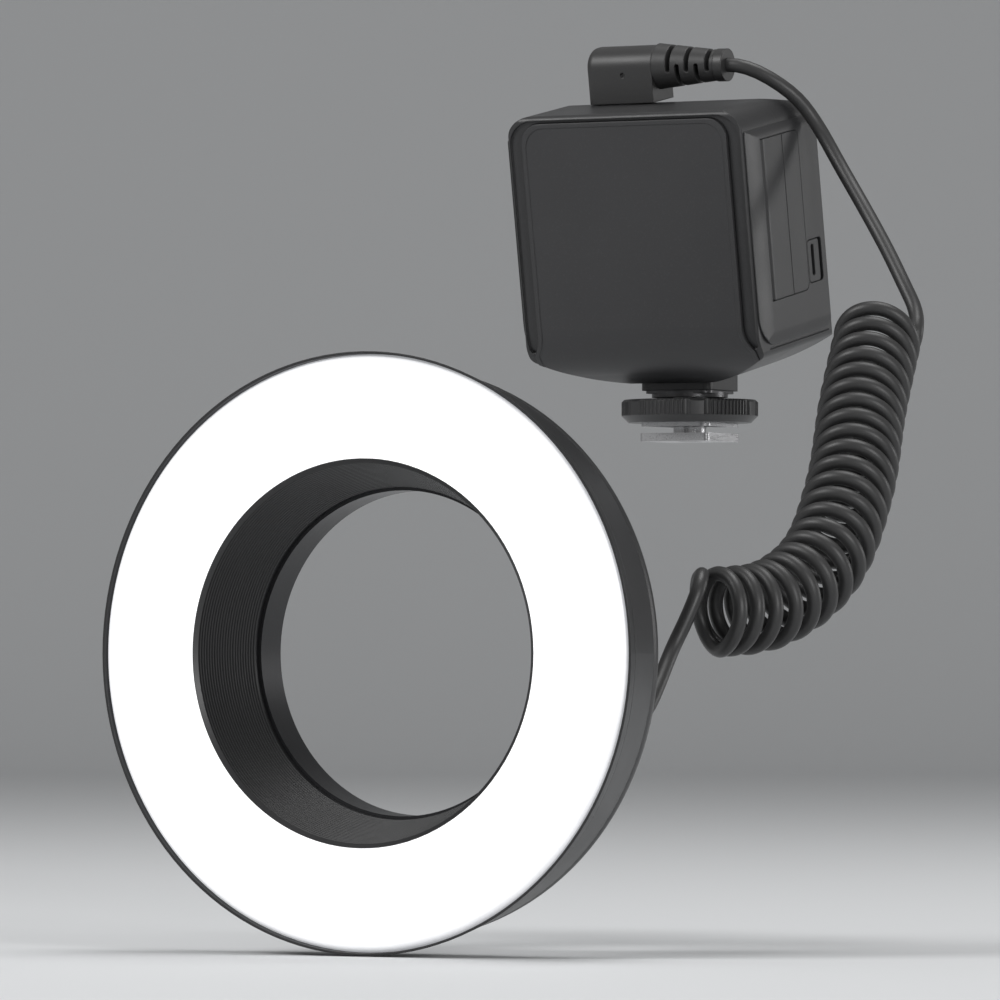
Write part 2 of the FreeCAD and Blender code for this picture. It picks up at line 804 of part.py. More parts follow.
def shells():
    """The two casing halves, opened for the door, latch, panels, socket, neck and screws."""
    outer = head_block("Outer", "0")
    inner = head_block("Inner", "head_wall")
    side = "head_width / 2"
    floor = plain("FloorBoss", Part.makeCompound(
        [Part.makeCylinder(2.2, 12, Vector(x, y, flange_low - 12)) for x, y in flange_spots]))
    posts = fused("Posts", casing_bosses("Boss", "boss_radius", "1", "head_depth - 2") + [floor])
    full = cut("Casing", outer, [cut("Hollow", inner, [posts])])
    pockets = lip_lines() + [
        cap_room("CapPocket", "0.1", "(panel_wall - panel_proud)"),
        band_room(),
        padded("DoorPocket", "YZ_Plane", door_opening(), f"{side} - door_wall", "10"),
        swing_relief("DoorRelief"),
        padded("LatchPocket", "YZ_Plane", latch_recess(), f"{side} - 0.9", "10"),
        padded("LatchSlot", "YZ_Plane", latch_slot(), f"{side} - 6", "10"),
        padded("RearPocket", "XZ_Plane", rear_panel_path("0.1"), "head_depth - 1", "10"),
        padded("RearOpening", "XZ_Plane", rounded(
            "rear_panel_inset + 2 - head_width / 2", "head_width / 2 - rear_panel_inset - 2",
            "rear_panel_low + 2", "head_height - rear_panel_drop - 2", "1"),
            "head_depth - head_wall - 1", "10"),
        rod("SocketHole", "socket_radius - 1.2", "Z", "head_height - 6", "12", socket_spot()),
        plain("NeckHole", foot_hole()),
        plain("FlangeHoles", Part.makeCompound([
            Part.makeCylinder(size.tiny_screw, neck_bite + 0.2, Vector(x, y, flange_low - neck_bite - 0.2))
            for x, y in flange_spots])),
        pin_hole("PinHole"),
    ]
    pockets += casing_bosses("Screw", "screw_radius + 0.1", "4", "head_depth")
    pockets += casing_bosses("Sink", "screw_head + 0.1", "head_depth - 5", "10")
    opened = cut("CasingOpened", full, pockets)
    wide, tall = ("-head_width", "head_width"), ("-40", "head_height * 2")
    front = box("FrontHalf", wide, ("-10", "seam_depth"), tall)
    rear = box("RearHalf", wide, ("seam_depth", "head_depth * 2"), tall)
    return shared("FrontShell", opened, front), shared("RearShell", opened, rear)


def casing_screws():
    shanks = casing_bosses("CasingShank", "screw_radius", "10", "head_depth - 15")
    heads = casing_bosses("CasingHead", "screw_head", "head_depth - 5", "1.4")
    pairs = enumerate(zip(shanks, heads))
    return group("CasingScrews", [fused(f"CasingScrew{n}", pair) for n, pair in pairs])


def front_panel():
    """The front cap: a bare face with a low rim, flowing over the chin into the belly."""
    strip = cut("CapStrip", ahead_of("CapBack", "(panel_wall - panel_proud)"),
                [ahead_of("CapFront", "(0 - panel_proud)")])
    limits = padded("CapLimits", "XZ_Plane", cap_outline(
        "0", "-1.67", [("0", "-belly_drop", "through")]), "-5", "30")
    sunk = cap_room("CapFace", "(0 - panel_rim)", "(panel_sunk - panel_proud)")
    return cut("FrontPanel", shared("Cap", strip, limits), [sunk])


def side_pad(name, side):
    """A full cheek that eases down to its edges; the right one is open for the door and its latch."""
    sign = "-" if side < 0 else ""
    inner = "head_width / 2"
    outer = f"{inner} + pad_proud"
    plan = padded(name + "Plan", "XY_Plane", [
        (f"{sign}({inner})", "pad_front"),
        (f"{sign}({inner} + 0.25)", "pad_front"),
        (f"{sign}({outer} - 0.22)", "pad_front + 3", "through"),
        (f"{sign}({outer})", "pad_front + 6.6"),
        (f"{sign}({outer})", "pad_rear - 1.6"),
        (f"{sign}({outer} - 0.12)", "pad_rear - 0.6", "through"),
        (f"{sign}({outer} - 0.5)", "pad_rear"),
        (f"{sign}({inner})", "pad_rear"),
    ], "-10", "head_height + 20")
    front = padded(name + "Front", "XZ_Plane", [
        (f"{sign}({inner})", "pad_low"),
        (f"{sign}({outer} - 0.65)", "pad_low"),
        (f"{sign}({outer} - 0.158)", "pad_low + 1.7", "through"),
        (f"{sign}({outer})", "pad_low + 3.4"),
        (f"{sign}({outer})", "pad_high - 2.5"),
        (f"{sign}({outer} - 0.196)", "pad_high - 1.25", "through"),
        (f"{sign}({outer} - 0.85)", "pad_high"),
        (f"{sign}({inner})", "pad_high"),
    ], "-10", "head_depth + 20")
    outside = padded(name + "Outline", "YZ_Plane", cornered(
        "pad_front", "pad_rear", "pad_low", "pad_high", ["4", "2", "1", "pad_corner"]),
        "-head_width", "head_width * 2")
    cheek = shared(name, shared(name + "Curved", plan, front), outside)
    if side < 0:
        return cheek
    return cut(name + "Open", cheek, [
        padded("PadDoor", "YZ_Plane", door_opening(), "head_width / 2 - 1", "10"),
        padded("PadLatch", "YZ_Plane", latch_recess(), "head_width / 2 - 1", "10"),
        swing_relief("PadRelief"),
        pin_hole("PadPinHole"),
    ])


# Battery door, latch and cells


def door_pivot():
    return ("head_width / 2 + pad_proud - door_wall / 2", "door_front + door_wall / 2")


def battery_door():
    """The side door, its front edge a half round about the hinge pin."""
    outside = "head_width / 2 + pad_proud"
    plate = padded("DoorPlate", "YZ_Plane", rounded(
        "door_front + door_wall / 2", "door_rear", "door_low", "door_high", "0.01"),
        f"{outside} - door_wall", "door_wall")
    edge = rod("DoorEdge", "door_wall / 2", "Z", "door_low", "door_high - door_low", door_pivot())
    whole = fused("DoorWhole", [plate, edge])
    corners = padded("DoorCorners", "YZ_Plane", cornered(
        "door_front", "door_rear", "door_low", "door_high", ["door_corner", "door_corner", "1", "1"]),
        f"{outside} - 10", "20")
    shaped = shared("DoorShaped", whole, corners)
    tall = "door_high - door_low + 2"
    return cut("Door", shaped, [
        rod("DoorBore", "pin_radius + running_gap", "Z", "door_low - 1", tall, door_pivot()),
        box("DoorSeam", (f"{outside} - 0.4", f"{outside} + 1"), ("seam_depth - 0.15", "seam_depth + 0.15"),
            ("door_low - 1", "door_high + 1")),
    ])


def pin_hole(name):
    return rod(name, "pin_radius + 0.02", "Z", "door_low - 2", "door_high - door_low + 4", door_pivot())


def hinge_pin():
    return rod("HingePin", "pin_radius", "Z", "door_low - 1.8", "door_high - door_low + 3.6", door_pivot())


def door_contact():
    back = "head_width / 2 + pad_proud - door_wall"
    return box("DoorContact", (f"{back} - 0.6", back), ("door_front + 5", "door_rear - 5"),
               ("door_low + 4", "door_high - 4"))


def latch_recess():
    return rounded(
        "door_rear + door_gap + 0.3", "door_rear + door_gap + 0.3 + latch_width + latch_travel + 0.3",
        "latch_low - 0.2", "latch_low + latch_height + 0.2", "1")


def latch_slot():
    return rounded(
        "door_rear + 2.1", "door_rear + 4.7 + latch_travel + 0.3",
        "latch_low + 2.8", "latch_low + latch_height - 2.8", "0.5")


def door_latch():
    """The thumb slide behind the door: a button with a nail groove, a stem and a foot inside the wall."""
    front = "door_rear + door_gap + 0.45"
    out = "head_width / 2 + pad_proud"
    inner = "head_width / 2 - head_wall"
    button = padded("LatchButton", "YZ_Plane", rounded(
        front, f"{front} + latch_width", "latch_low", "latch_low + latch_height", "0.9"),
        "head_width / 2 - 0.8", "pad_proud + 0.8")
    stem = box(
        "LatchStem", (f"{inner} - 0.4", "head_width / 2 - 0.5"),
        ("door_rear + 2.3", "door_rear + 4.5"), ("latch_low + 3", "latch_low + latch_height - 3"))
    foot = box(
        "LatchFoot", (f"{inner} - 1.2", f"{inner} - 0.1"),
        ("door_rear + 0.6", "door_rear + 6.1"), ("latch_low + 1.4", "latch_low + latch_height - 1.4"))
    groove = padded("LatchGroove", "YZ_Plane", rounded(
        f"{front} + 1.7", f"{front} + 3.3", "latch_low + 1.5", "latch_low + latch_height - 1", "0.7"),
        f"{out} - 0.9", "2")
    return cut("Latch", fused("LatchWhole", [button, stem, foot]), [groove])


bay_middle = "(door_front + door_rear) / 2"
bay_up = "(door_low + door_high) / 2"
cell_end = "head_width / 2 + pad_proud - door_wall - 1.2"


def cell_rod(name, radius, start, length, level):
    return rod(name, radius, "X", start, length, (bay_middle, f"{bay_up} + cell_pitch / 2 * {level}"))


def batteries():
    """Two AA cells lying across the head, one each way round."""
    first = f"{cell_end} - cell_length - nub_length"
    upper = fused("UpperCell", [
        cell_rod("UpperCan", "cell_radius", first, "cell_length", 1),
        cell_rod("UpperNub", "nub_radius", f"{first} + cell_length", "nub_length", 1)])
    lower = fused("LowerCell", [
        cell_rod("LowerCan", "cell_radius", f"{first} + nub_length", "cell_length", -1),
        cell_rod("LowerNub", "nub_radius", first, "nub_length", -1)])
    return group("Cells", [upper, lower])


tray_inner = "-head_width / 2 + head_wall + 1.6"


def battery_tray():
    wall = "tray_wall"
    half = "cell_radius + 0.3"
    tall = "cell_pitch / 2 + cell_radius + 0.3"
    outer_end = "head_width / 2 - door_wall + pad_proud - 0.8"
    shell = box("TrayBlock", (f"{tray_inner} - {wall}", outer_end),
                (f"{bay_middle} - ({half}) - {wall}", f"{bay_middle} + {half} + {wall}"),
                (f"{bay_up} - ({tall}) - {wall}", f"{bay_up} + {tall} + {wall}"))
    bay = box("TrayBay", (tray_inner, f"{outer_end} + 5"),
              (f"{bay_middle} - ({half})", f"{bay_middle} + {half}"),
              (f"{bay_up} - ({tall})", f"{bay_up} + {tall}"))
    return cut("Tray", shell, [bay])


def contact_springs():
    """The two contacts at the blind end of the battery bay."""
    first = f"{cell_end} - cell_length - nub_length"
    cones = []
    for number, level in enumerate((1, -1)):
        cone = doc.addObject("Part::Cone", f"Contact{number}")
        tie(cone, Radius1="nub_radius * 1.7", Radius2="nub_radius * 0.8", Height=f"{first} - ({tray_inner})")
        cone.Placement = Placement(Vector(), AIM["X"])
        tie(cone, **{"Placement.Base.x": tray_inner, "Placement.Base.y": bay_middle,
                     "Placement.Base.z": f"{bay_up} + cell_pitch / 2 * {level}"})
        cones.append(cone)
    return group("Contacts", cones)


# Rear panel, display and buttons

BUTTONS = {"power_button": -3, "mode_button": -1, "minus_button": 1, "plus_button": 3}


def button_place(step):
    """Where a key sits across, in thirds of the way to the outermost."""
    return f"(head_width / 2 - button_inset) * ({step}) / 3"


def rear_panel_path(gap):
    half = f"head_width / 2 - rear_panel_inset + {gap}"
    return rounded(f"-({half})", half, f"rear_panel_low - {gap}",
                   f"head_height - rear_panel_drop + {gap}", "panel_corner")


def window_path(gap):
    half = f"head_width / 2 - window_inset + {gap}"
    return rounded(f"-({half})", half, f"window_low - {gap}", f"head_height - window_drop + {gap}", "1.2")


def rear_panel():
    plate = padded("RearPlate", "XZ_Plane", rear_panel_path("0"), "head_depth - 1", "1 + rear_panel_proud")
    tools = [padded("WindowHole", "XZ_Plane", window_path("0.1"), "head_depth - 3", "10")]
    for name, step in BUTTONS.items():
        spot = (button_place(step), "button_up")
        tools.append(rod(name + "Hole", "button_radius + button_gap", "Y", "head_depth - 4", "10", spot))
    return cut("RearPanel", plate, tools)


def display_window():
    return padded("Window", "XZ_Plane", window_path("0"), "head_depth - 1", "1.2")


def display_module():
    return padded("Display", "XZ_Plane", rounded(
        "window_inset - 2 - head_width / 2", "head_width / 2 - window_inset + 2",
        "window_low - 2", "head_height - window_drop + 2", "0.5"), "head_depth - 5.2", "4.2")


board_depth = "head_depth - 4 - button_travel - button_gap - switch_depth"


def circuit_board():
    return box("MainBoard", ("-24", "24"), (f"{board_depth} - 1.6", board_depth), ("8", "47"))


def switches():
    return group("Switches", [
        rod(name + "Switch", "1.6", "Y", board_depth, "switch_depth", (button_place(step), "button_up"))
        for name, step in BUTTONS.items()])


def button(name):
    """A round key with a flange that stays behind the panel."""
    spot = (button_place(BUTTONS[name]), "button_up")
    back = "head_depth - 4"
    cap = rod(name + "Cap", "button_radius", "Y", back, "4 + button_proud", spot)
    lip = rod(name + "Lip", "button_radius + 0.9", "Y", back, "1.6", spot)
    dish = doc.addObject("Part::Sphere", name + "Dish")
    tie(dish, Radius="button_radius * 4", **{
        "Placement.Base.x": spot[0], "Placement.Base.z": spot[1],
        "Placement.Base.y": "head_depth + button_proud + button_radius * 3.93"})
    return cut(name + "Key", fused(name + "Whole", [cap, lip]), [dish])


def button_guide():
    """The moulded bar that guides the keys, in front of the display board."""
    half = "(head_width / 2 - rear_panel_inset - 2.6)"
    bar = box("GuideBar", (f"-{half}", half), ("head_depth - 2.3", "head_depth - 1"),
              ("rear_panel_low + 2.2", "window_low - 2.2"))
    holes = [rod(name + "Guide", "button_radius + button_gap", "Y", "head_depth - 6", "10",
                 (button_place(step), "button_up")) for name, step in BUTTONS.items()]
    return cut("Guide", bar, holes)


def board_posts():
    """The posts that hold the circuit board off the battery tray."""
    start = f"{bay_middle} + cell_radius + 0.3 + tray_wall"
    end = f"{board_depth} - 1.6"
    return group("BoardPosts", [
        rod(f"BoardPost{n}", "1.8", "Y", start, f"{end} - ({start})", (x, z))
        for n, (x, z) in enumerate([("-20", "18"), ("20", "18"), ("-20", "42"), ("20", "42")])])


# Socket, plug and boot


def socket_spot():
    return ("-(plug_left + plug_right) / 2", "plug_front + plug_depth / 2")


def top_socket():
    collar = rod("SocketCollar", "socket_radius", "Z", "head_height", "socket_height", socket_spot())
    low = "head_height + socket_height - jack_length"
    barrel = rod(
        "SocketBarrel", "socket_radius - 1.4", "Z", f"{low} - 0.3", "jack_length + 0.3", socket_spot())
    hole = rod("SocketBore", "jack_radius + running_gap", "Z", low, "30", socket_spot())
    return cut("Socket", fused("SocketWhole", [collar, barrel]), [hole])


def jack_pin():
    low = "head_height + socket_height - jack_length + 0.2"
    return rod("Jack", "jack_radius", "Z", low, "jack_length - 0.2", socket_spot())


def plug_body():
    """The moulded right-angled plug, its top a half round."""
    low = "head_height + socket_height"
    high = f"{low} + plug_height"
    back = "plug_front + plug_depth"
    bend = f"plug_round * {1 - math.sqrt(0.5):.6f}"
    body = padded("PlugBlock", "YZ_Plane", [
        ("plug_front", low),
        (back, low),
        (back, f"{high} - plug_round"),
        (f"{back} - {bend}", f"{high} - {bend}", "through"),
        (f"{back} - plug_round", high),
        ("plug_front + plug_round", high),
        (f"plug_front + {bend}", f"{high} - {bend}", "through"),
        ("plug_front", f"{high} - plug_round"),
    ], "-plug_left", "plug_left - plug_right")
    rounded_edges(body, "Plug", "2.2", lambda edge: (
        abs(edge.CenterOfMass.x + size.plug_left) < 1e-3
        and edge.CenterOfMass.z > worth(low) + 0.1))
    return cut("Plug", body, [rod("PlugDot", "0.6", "Y", "plug_front - 1", "1.5", (
        "-plug_left + 10.2", f"{low} + plug_height * 0.51"))])


boot_direction = Vector(math.cos(math.radians(size.boot_droop)), 0, -math.sin(math.radians(size.boot_droop)))
boot_start = Vector(-size.plug_right, size.plug_front + size.plug_depth / 2, size.head_height + size.boot_up)
boot_end = boot_start + boot_direction * size.boot_length


def plug_boot():
    """The tapered boot, slotted above and below so that it bends."""
    tip = size.boot_length - 2.4
    cone = Part.makeCone(size.boot_radius, size.boot_tip_radius, tip, boot_start, boot_direction)
    rim = Part.makeCylinder(
        size.boot_tip_radius + 0.25, 2.4, boot_start + boot_direction * tip, boot_direction)
    whole = cone.fuse(rim).removeSplitter()
    flat = Part.makeBox(1, 40, 40, Vector(-size.plug_right - 1, 5, size.head_height - 10))
    core = Part.makeCylinder(size.cord_radius + 0.2, size.boot_length)
    core.rotate(Vector(), Vector(0, 1, 0), 90)
    half, reach = size.boot_slot, 8.0
    slots = []
    for along, end, foot in ((4.2, -0.5, -0.5), (9.0, -0.5, -0.5), (14.3, -0.5, -0.5),
                             (6.6, 0.3, 0.3 - reach), (11.5, 0.3, 0.3 - reach)):
        slots.append(Part.makeBox(2 * half, 2 * reach, reach, Vector(along - half, -reach, foot)).fuse(
            Part.makeCylinder(half, 2 * reach, Vector(along, -reach, end), Vector(0, 1, 0))))
    cuts = Part.makeCompound([slot.cut(core) for slot in slots])
    cuts.Placement = Placement(boot_start, Rotation(Vector(0, 1, 0), size.boot_droop))
    return plain("Boot", whole.cut(cuts).cut(flat).removeSplitter())


# Shoe foot and lock wheel


def foot_plate():
    half, deep = "foot_width / 2", "foot_length / 2"
    path = rounded(f"-{half}", half, f"-{deep}", deep, "1")
    plate = padded("FootPlate", "XY_Plane", path, "0", "foot_wall")
    return cut("Foot", plate, [
        rod("FootHole", "1.6", "Z", "-1", "10"),
        cone_tool(),
    ])


def cone_tool():
    cone = doc.addObject("Part::Cone", "FootSink")
    tie(cone, Radius1="3.1", Radius2="1.6", Height="1.5")
    return cone


def foot_screw():
    cone = doc.addObject("Part::Cone", "FootScrewHead")
    tie(cone, Radius1="3.05", Radius2="1.55", Height="1.5")
    shank = rod("FootScrewShank", "1.5", "Z", "1.2", "6")
    slot = box("FootScrewSlot", ("-4", "4"), ("-0.35", "0.35"), ("-1", "0.6"))
    return cut("FootScrew", fused("FootScrewWhole", [cone, shank]), [slot])


def foot_stem():
    stem = rod("StemRod", "stem_radius", "Z", "foot_wall", "neck_up - foot_wall + 6")
    return cut("Stem", stem, [rod("StemHole", "1.5", "Z", "0", "7.4")])


def clamp_washer():
    low = "foot_wall + shoe_gap"
    half = "foot_width / 2"
    path = rounded(f"-{half}", half, f"-{half}", half, "2")
    plate = padded("WasherPlate", "XY_Plane", path, low, "washer_wall")
    return cut("Washer", plate, [rod("WasherHole", "stem_radius + running_gap", "Z", "0", "10")])


def lock_wheel():
    """The thumb wheel: knurled sectors between smooth lobes, chamfered below and recessed above."""
    low = "foot_wall + shoe_gap + washer_wall"
    high = f"{low} + wheel_height"
    wheel = turned("WheelBlank", [
        ("stem_radius + running_gap", low),
        ("wheel_radius - wheel_chamfer", low),
        ("wheel_radius", f"{low} + wheel_chamfer"),
        ("wheel_radius", f"{high} - 0.6"),
        ("wheel_radius - 0.6", high),
        ("wheel_recess_radius", high),
        ("wheel_recess_radius", f"{high} - wheel_lift - 1.2"),
        ("stem_radius + running_gap", f"{high} - wheel_lift - 1.2"),
    ], "XZ_Plane")
    start = worth(low) + size.wheel_chamfer
    tools = []
    for sector in range(int(size.knurl_sectors)):
        middle = 33 + 360 / size.knurl_sectors * sector
        edge = size.knurl_step * (size.knurls + 1.3) / 2
        steps = [size.knurl_step * (number - (size.knurls - 1) / 2) for number in range(int(size.knurls))]
        grooves = [(step, size.wheel_radius, size.knurl_radius) for step in steps]
        grooves += [(step, size.wheel_radius + 0.6, 1.1) for step in (-edge, edge)]
        for step, orbit, radius in grooves:
            angle = math.radians(middle + step)
            centre = Vector(orbit * math.cos(angle), orbit * math.sin(angle), start)
            tools.append(Part.makeCylinder(radius, 20, centre))
    return cut("Wheel", wheel, [plain("Knurls", Part.makeCompound(tools))])


def neck_block():
    """The neck with its flange, which bolts inside the leaning head."""
    wide, deep = "neck_width / 2", "neck_length / 2"
    path = rounded(f"-{wide}", wide, f"-{deep}", deep, "neck_corner")
    body = padded("NeckBody", "XY_Plane", path, "neck_up", "12")
    inside = head_place.inverse().multiply(foot_place).inverse()
    flange = Part.makeBox(2 * flange_half[0], 2 * flange_half[1], flange_high - flange_low,
                          Vector(-flange_half[0], flange_middle - flange_half[1], flange_low))
    holes = Part.makeCompound(
        [Part.makeCylinder(size.tiny_screw + 0.1, 10, Vector(x, y, flange_low - 2)) for x, y in flange_spots])
    above = Part.makeBox(60, 60, 40, Vector(-30, -10, flange_high))
    for shape in (flange, holes, above):
        shape.Placement = inside.multiply(shape.Placement)
    joined = fused("NeckWhole", [body, plain("NeckFlange", flange)])
    return cut("Neck", joined, [plain("NeckHoles", holes), plain("NeckTop", above),
                                rod("NeckBore", "stem_radius", "Z", "0", "neck_up + 6")])


def neck_screws():
    screws = []
    reach = flange_high - flange_low + neck_bite
    for x, y in flange_spots:
        shank = Part.makeCylinder(size.tiny_screw, reach, Vector(x, y, flange_low - neck_bite))
        head = Part.makeCylinder(size.tiny_screw * 2, 0.9, Vector(x, y, flange_high))
        screws.append(shank.fuse(head).removeSplitter())
    return plain("NeckScrews", Part.makeCompound(screws))


def neck_plate():
    """The pressed plate under the neck, with its round boss."""
    low = "neck_up - neck_plate_wall"
    wide, deep = "neck_width / 2", "neck_length / 2"
    plate = padded("NeckPlateBlank", "XY_Plane", rounded(
        f"-{wide} + 0.6", f"{wide} - 0.6", f"-{deep} + 0.6", f"{deep} - 0.6", "2.4"), low, "neck_plate_wall")
    disc = rod("NeckPlateDisc", "neck_disc_radius", "Z", f"{low} - neck_disc_wall",
               "neck_disc_wall + neck_plate_wall / 2")
    return cut("NeckPlate", fused("NeckPlateWhole", [plate, disc]), [
        rod("NeckPlateHole", "stem_radius + running_gap", "Z", "0", "30")])


# Curly cord

UPPER_POINTS = [(31.9, 157.1, 135.9), (35.8, 162.1, 128.9), (42.9, 160.9, 117.8),
                (52.0, 155.6, 107.0), (60.0, 151.5, 96.6), (66.1, 147.7, 88.1)]
COIL_START = (69.4, 145.4, 82.2)
COIL_POINTS = [(64.2, 138.0, 76.8), (66.4, 124.0, 57.8), (70.0, 109.5, 38.7), (70.0, 94.5, 21.2),
               (64.4, 78.5, 11.4), (56.1, 61.0, 9.2)]
COIL_SIDE = Vector(0.874, 0.486, 0)
COIL_LEAN_WAY = Vector(0.486, -0.874, 0)
COIL_END = (53.3, 57.0, 8.1)
LOWER_POINTS = [(54.2, 48.5, 0.8), (54.8, 40.9, -6.8)]


def hermite(points, place):
    """A point and heading on the smooth curve through the points, place counting the spans."""
    last = len(points) - 1
    index = min(int(place), last - 1)
    t = place - index
    a, b = points[index], points[index + 1]
    before = points[index - 1] if index > 0 else a * 2 - b
    after = points[index + 2] if index + 2 <= last else b * 2 - a
    m, n = (b - before) * 0.5, (after - a) * 0.5
    spot = a * (2 * t**3 - 3 * t**2 + 1) + m * (t**3 - 2 * t**2 + t)
    spot += b * (3 * t**2 - 2 * t**3) + n * (t**3 - t**2)
    slope = (b - a) * (6 * t - 6 * t**2) + m * (3 * t**2 - 4 * t + 1) + n * (3 * t**2 - 2 * t)
    return spot, slope


def coil_frames(steps=600):
    """Points along the coil's centre line: place, curl axis, side direction, distance and bend."""
    points = [Vector(*one) for one in COIL_POINTS]
    spans = len(points) - 1
    frames = []
    side = Vector(COIL_SIDE)
    heading = None
    for number in range(steps + 1):
        along = number / steps
        spot, slope = hermite(points, spans * along)
        previous = heading
        heading = Vector(slope).normalize()
        lean = size.curl_lean * (1 - along)
        axis = (heading + COIL_LEAN_WAY * lean).normalize()
        side = (side - axis * side.dot(axis)).normalize()
        stride = (spot - frames[-1][0]).Length if frames else 0.0
        travelled = frames[-1][3] + stride if frames else 0.0
        bend = (heading - previous).Length / stride if frames else 0.0
        frames.append((spot, axis, Vector(side), travelled, bend))
    return frames


def coil_turns(frames):
    """The turn count at each frame: curls open up where the coil bends, so its inside stays clear."""
    reach = 40
    counts = [0.0]
    for number in range(1, len(frames)):
        near = frames[max(1, number - reach):number + reach]
        bend = sum(one[4] for one in near) / len(near)
        rate = 1 - size.curl_opening * size.curl_radius * bend
        counts.append(counts[-1] + rate * (frames[number][3] - frames[number - 1][3]))
    return [size.curl_turns * one / counts[-1] for one in counts]


def coil_point(frames, counts, turn):
    """Where the cord's centre is after so many turns."""
    turn = min(max(turn, 0.0), counts[-1])
    index = next(n for n in range(1, len(counts)) if counts[n] >= turn - 1e-12)
    share = (turn - counts[index - 1]) / (counts[index] - counts[index - 1])
    first, second = frames[index - 1], frames[index]
    centre = first[0] + (second[0] - first[0]) * share
    heading = (first[1] + (second[1] - first[1]) * share).normalize()
    side = first[2] + (second[2] - first[2]) * share
    side = (side - heading * side.dot(heading)).normalize()
    round_way = side.cross(heading)
    angle = 2 * math.pi * turn
    return centre + (side * math.cos(angle) + round_way * math.sin(angle)) * size.curl_radius


def biarc(a, u, b, v):
    """Two arcs from a, heading u, to b, heading v."""
    gap = b - a
    across = gap.dot(u + v)
    spare = 2 * (1 - u.dot(v))
    if spare > 1e-9:
        reach = (-across + math.sqrt(across**2 + spare * gap.dot(gap))) / spare
    else:
        reach = gap.dot(gap) / (4 * gap.dot(v))
    middle = (a + b + (u - v) * reach) * 0.5
    return [tangent_arc(a, u, middle), tangent_arc(b, v * -1, middle)]


def tangent_arc(start, heading, end):
    """The arc from start, leaving along heading, to end."""
    chord = end - start
    normal = chord - heading * chord.dot(heading)
    if normal.Length < 1e-7:
        return Part.LineSegment(start, end)
    radius = chord.dot(chord) / (2 * normal.Length)
    centre = start + normal.normalize() * radius
    half = (start - centre) + (end - centre)
    if half.Length < 1e-9 or chord.dot(heading) < 0:
        raise ValueError("an arc of the cord turns through more than a half circle")
    return Part.Arc(start, centre + half.normalize() * radius, end)


def route_tube(name, route, radius):
    """A tube along straight runs and the largest tangent arcs that they allow."""
    edges = []
    at = route[0]
    shortest = None
    for before, corner, after in zip(route, route[1:], route[2:]):
        one, two = (corner - before), (after - corner)
        turn = one.getAngle(two)
        reach = 0.45 * min(one.Length, two.Length)
        bend = reach / math.tan(turn / 2)
        shortest = bend if shortest is None else min(shortest, bend)
        first = corner - Vector(one).normalize() * reach
        second = corner + Vector(two).normalize() * reach
        inward = (Vector(two).normalize() - Vector(one).normalize()).normalize()
        middle = corner + inward * (bend / math.cos(turn / 2) - bend)
        edges.append(Part.LineSegment(at, first).toShape())
        edges.append(Part.Arc(first, middle, second).toShape())
        at = second
    edges.append(Part.LineSegment(at, route[-1]).toShape())
    shape, wire = swept(edges, radius)
    ratio = shape.Volume / (math.pi * radius**2 * wire.Length)
    print(f"{name}: smallest bend {shortest:.1f} mm, length {wire.Length:.1f} mm, volume ratio {ratio:.4f}")
    return shape


def swept(edges, radius):
    """A round tube along edges that follow each other."""
    wire = Part.Wire(edges)
    first = edges[0]
    start, heading = first.valueAt(first.FirstParameter), first.tangentAt(first.FirstParameter)
    ring = Part.Wire([Part.Circle(start, heading, radius).toShape()])
    pipe = Part.BRepOffsetAPI.MakePipeShell(wire)
    pipe.add(ring)
    pipe.build()
    pipe.makeSolid()
    return pipe.shape(), wire


upper_end = Vector(*COIL_START)
coil_heading = (upper_end - Vector(*UPPER_POINTS[-1])).normalize()
lower_start = Vector(*COIL_END)
lower_heading = (Vector(*LOWER_POINTS[0]) - lower_start).normalize()
from_head = ring_place.inverse().multiply(head_place)
boot_mouth = from_head.multVec(boot_end)
boot_lead = from_head.multVec(boot_end + boot_direction * size.boot_lead)


def coil_path():
    """The coil's edges: a straight lead, quarter-turn biarcs, and a straight lead out."""
    frames = coil_frames()
    counts = coil_turns(frames)
    lead = 2 * size.cord_radius
    nudge = 1e-3
    stops = [(upper_end + coil_heading * lead, coil_heading)]
    for number in range(1, int(round(4 * size.curl_turns))):
        turn = number / 4
        slope = coil_point(frames, counts, turn + nudge) - coil_point(frames, counts, turn - nudge)
        stops.append((coil_point(frames, counts, turn), slope.normalize()))
    stops.append((lower_start - lower_heading * lead, lower_heading))
    edges = [Part.LineSegment(upper_end, stops[0][0])]
    for (a, u), (b, v) in zip(stops, stops[1:]):
        edges += biarc(a, u, b, v)
    edges.append(Part.LineSegment(stops[-1][0], lower_start))
    return edges


def forward_edges(curves):
    """Edges of the curves, each running on from the last."""
    edges = []
    at = upper_end
    for curve in curves:
        edge = curve.toShape()
        first, last = edge.valueAt(edge.FirstParameter), edge.valueAt(edge.LastParameter)
        if (last - at).Length < (first - at).Length:
            middle = edge.valueAt((edge.FirstParameter + edge.LastParameter) / 2)
            straight = isinstance(curve, Part.LineSegment)
            edge = (Part.LineSegment(last, first) if straight else Part.Arc(last, middle, first)).toShape()
            first, last = last, first
        edges.append(edge)
        at = last
    return edges


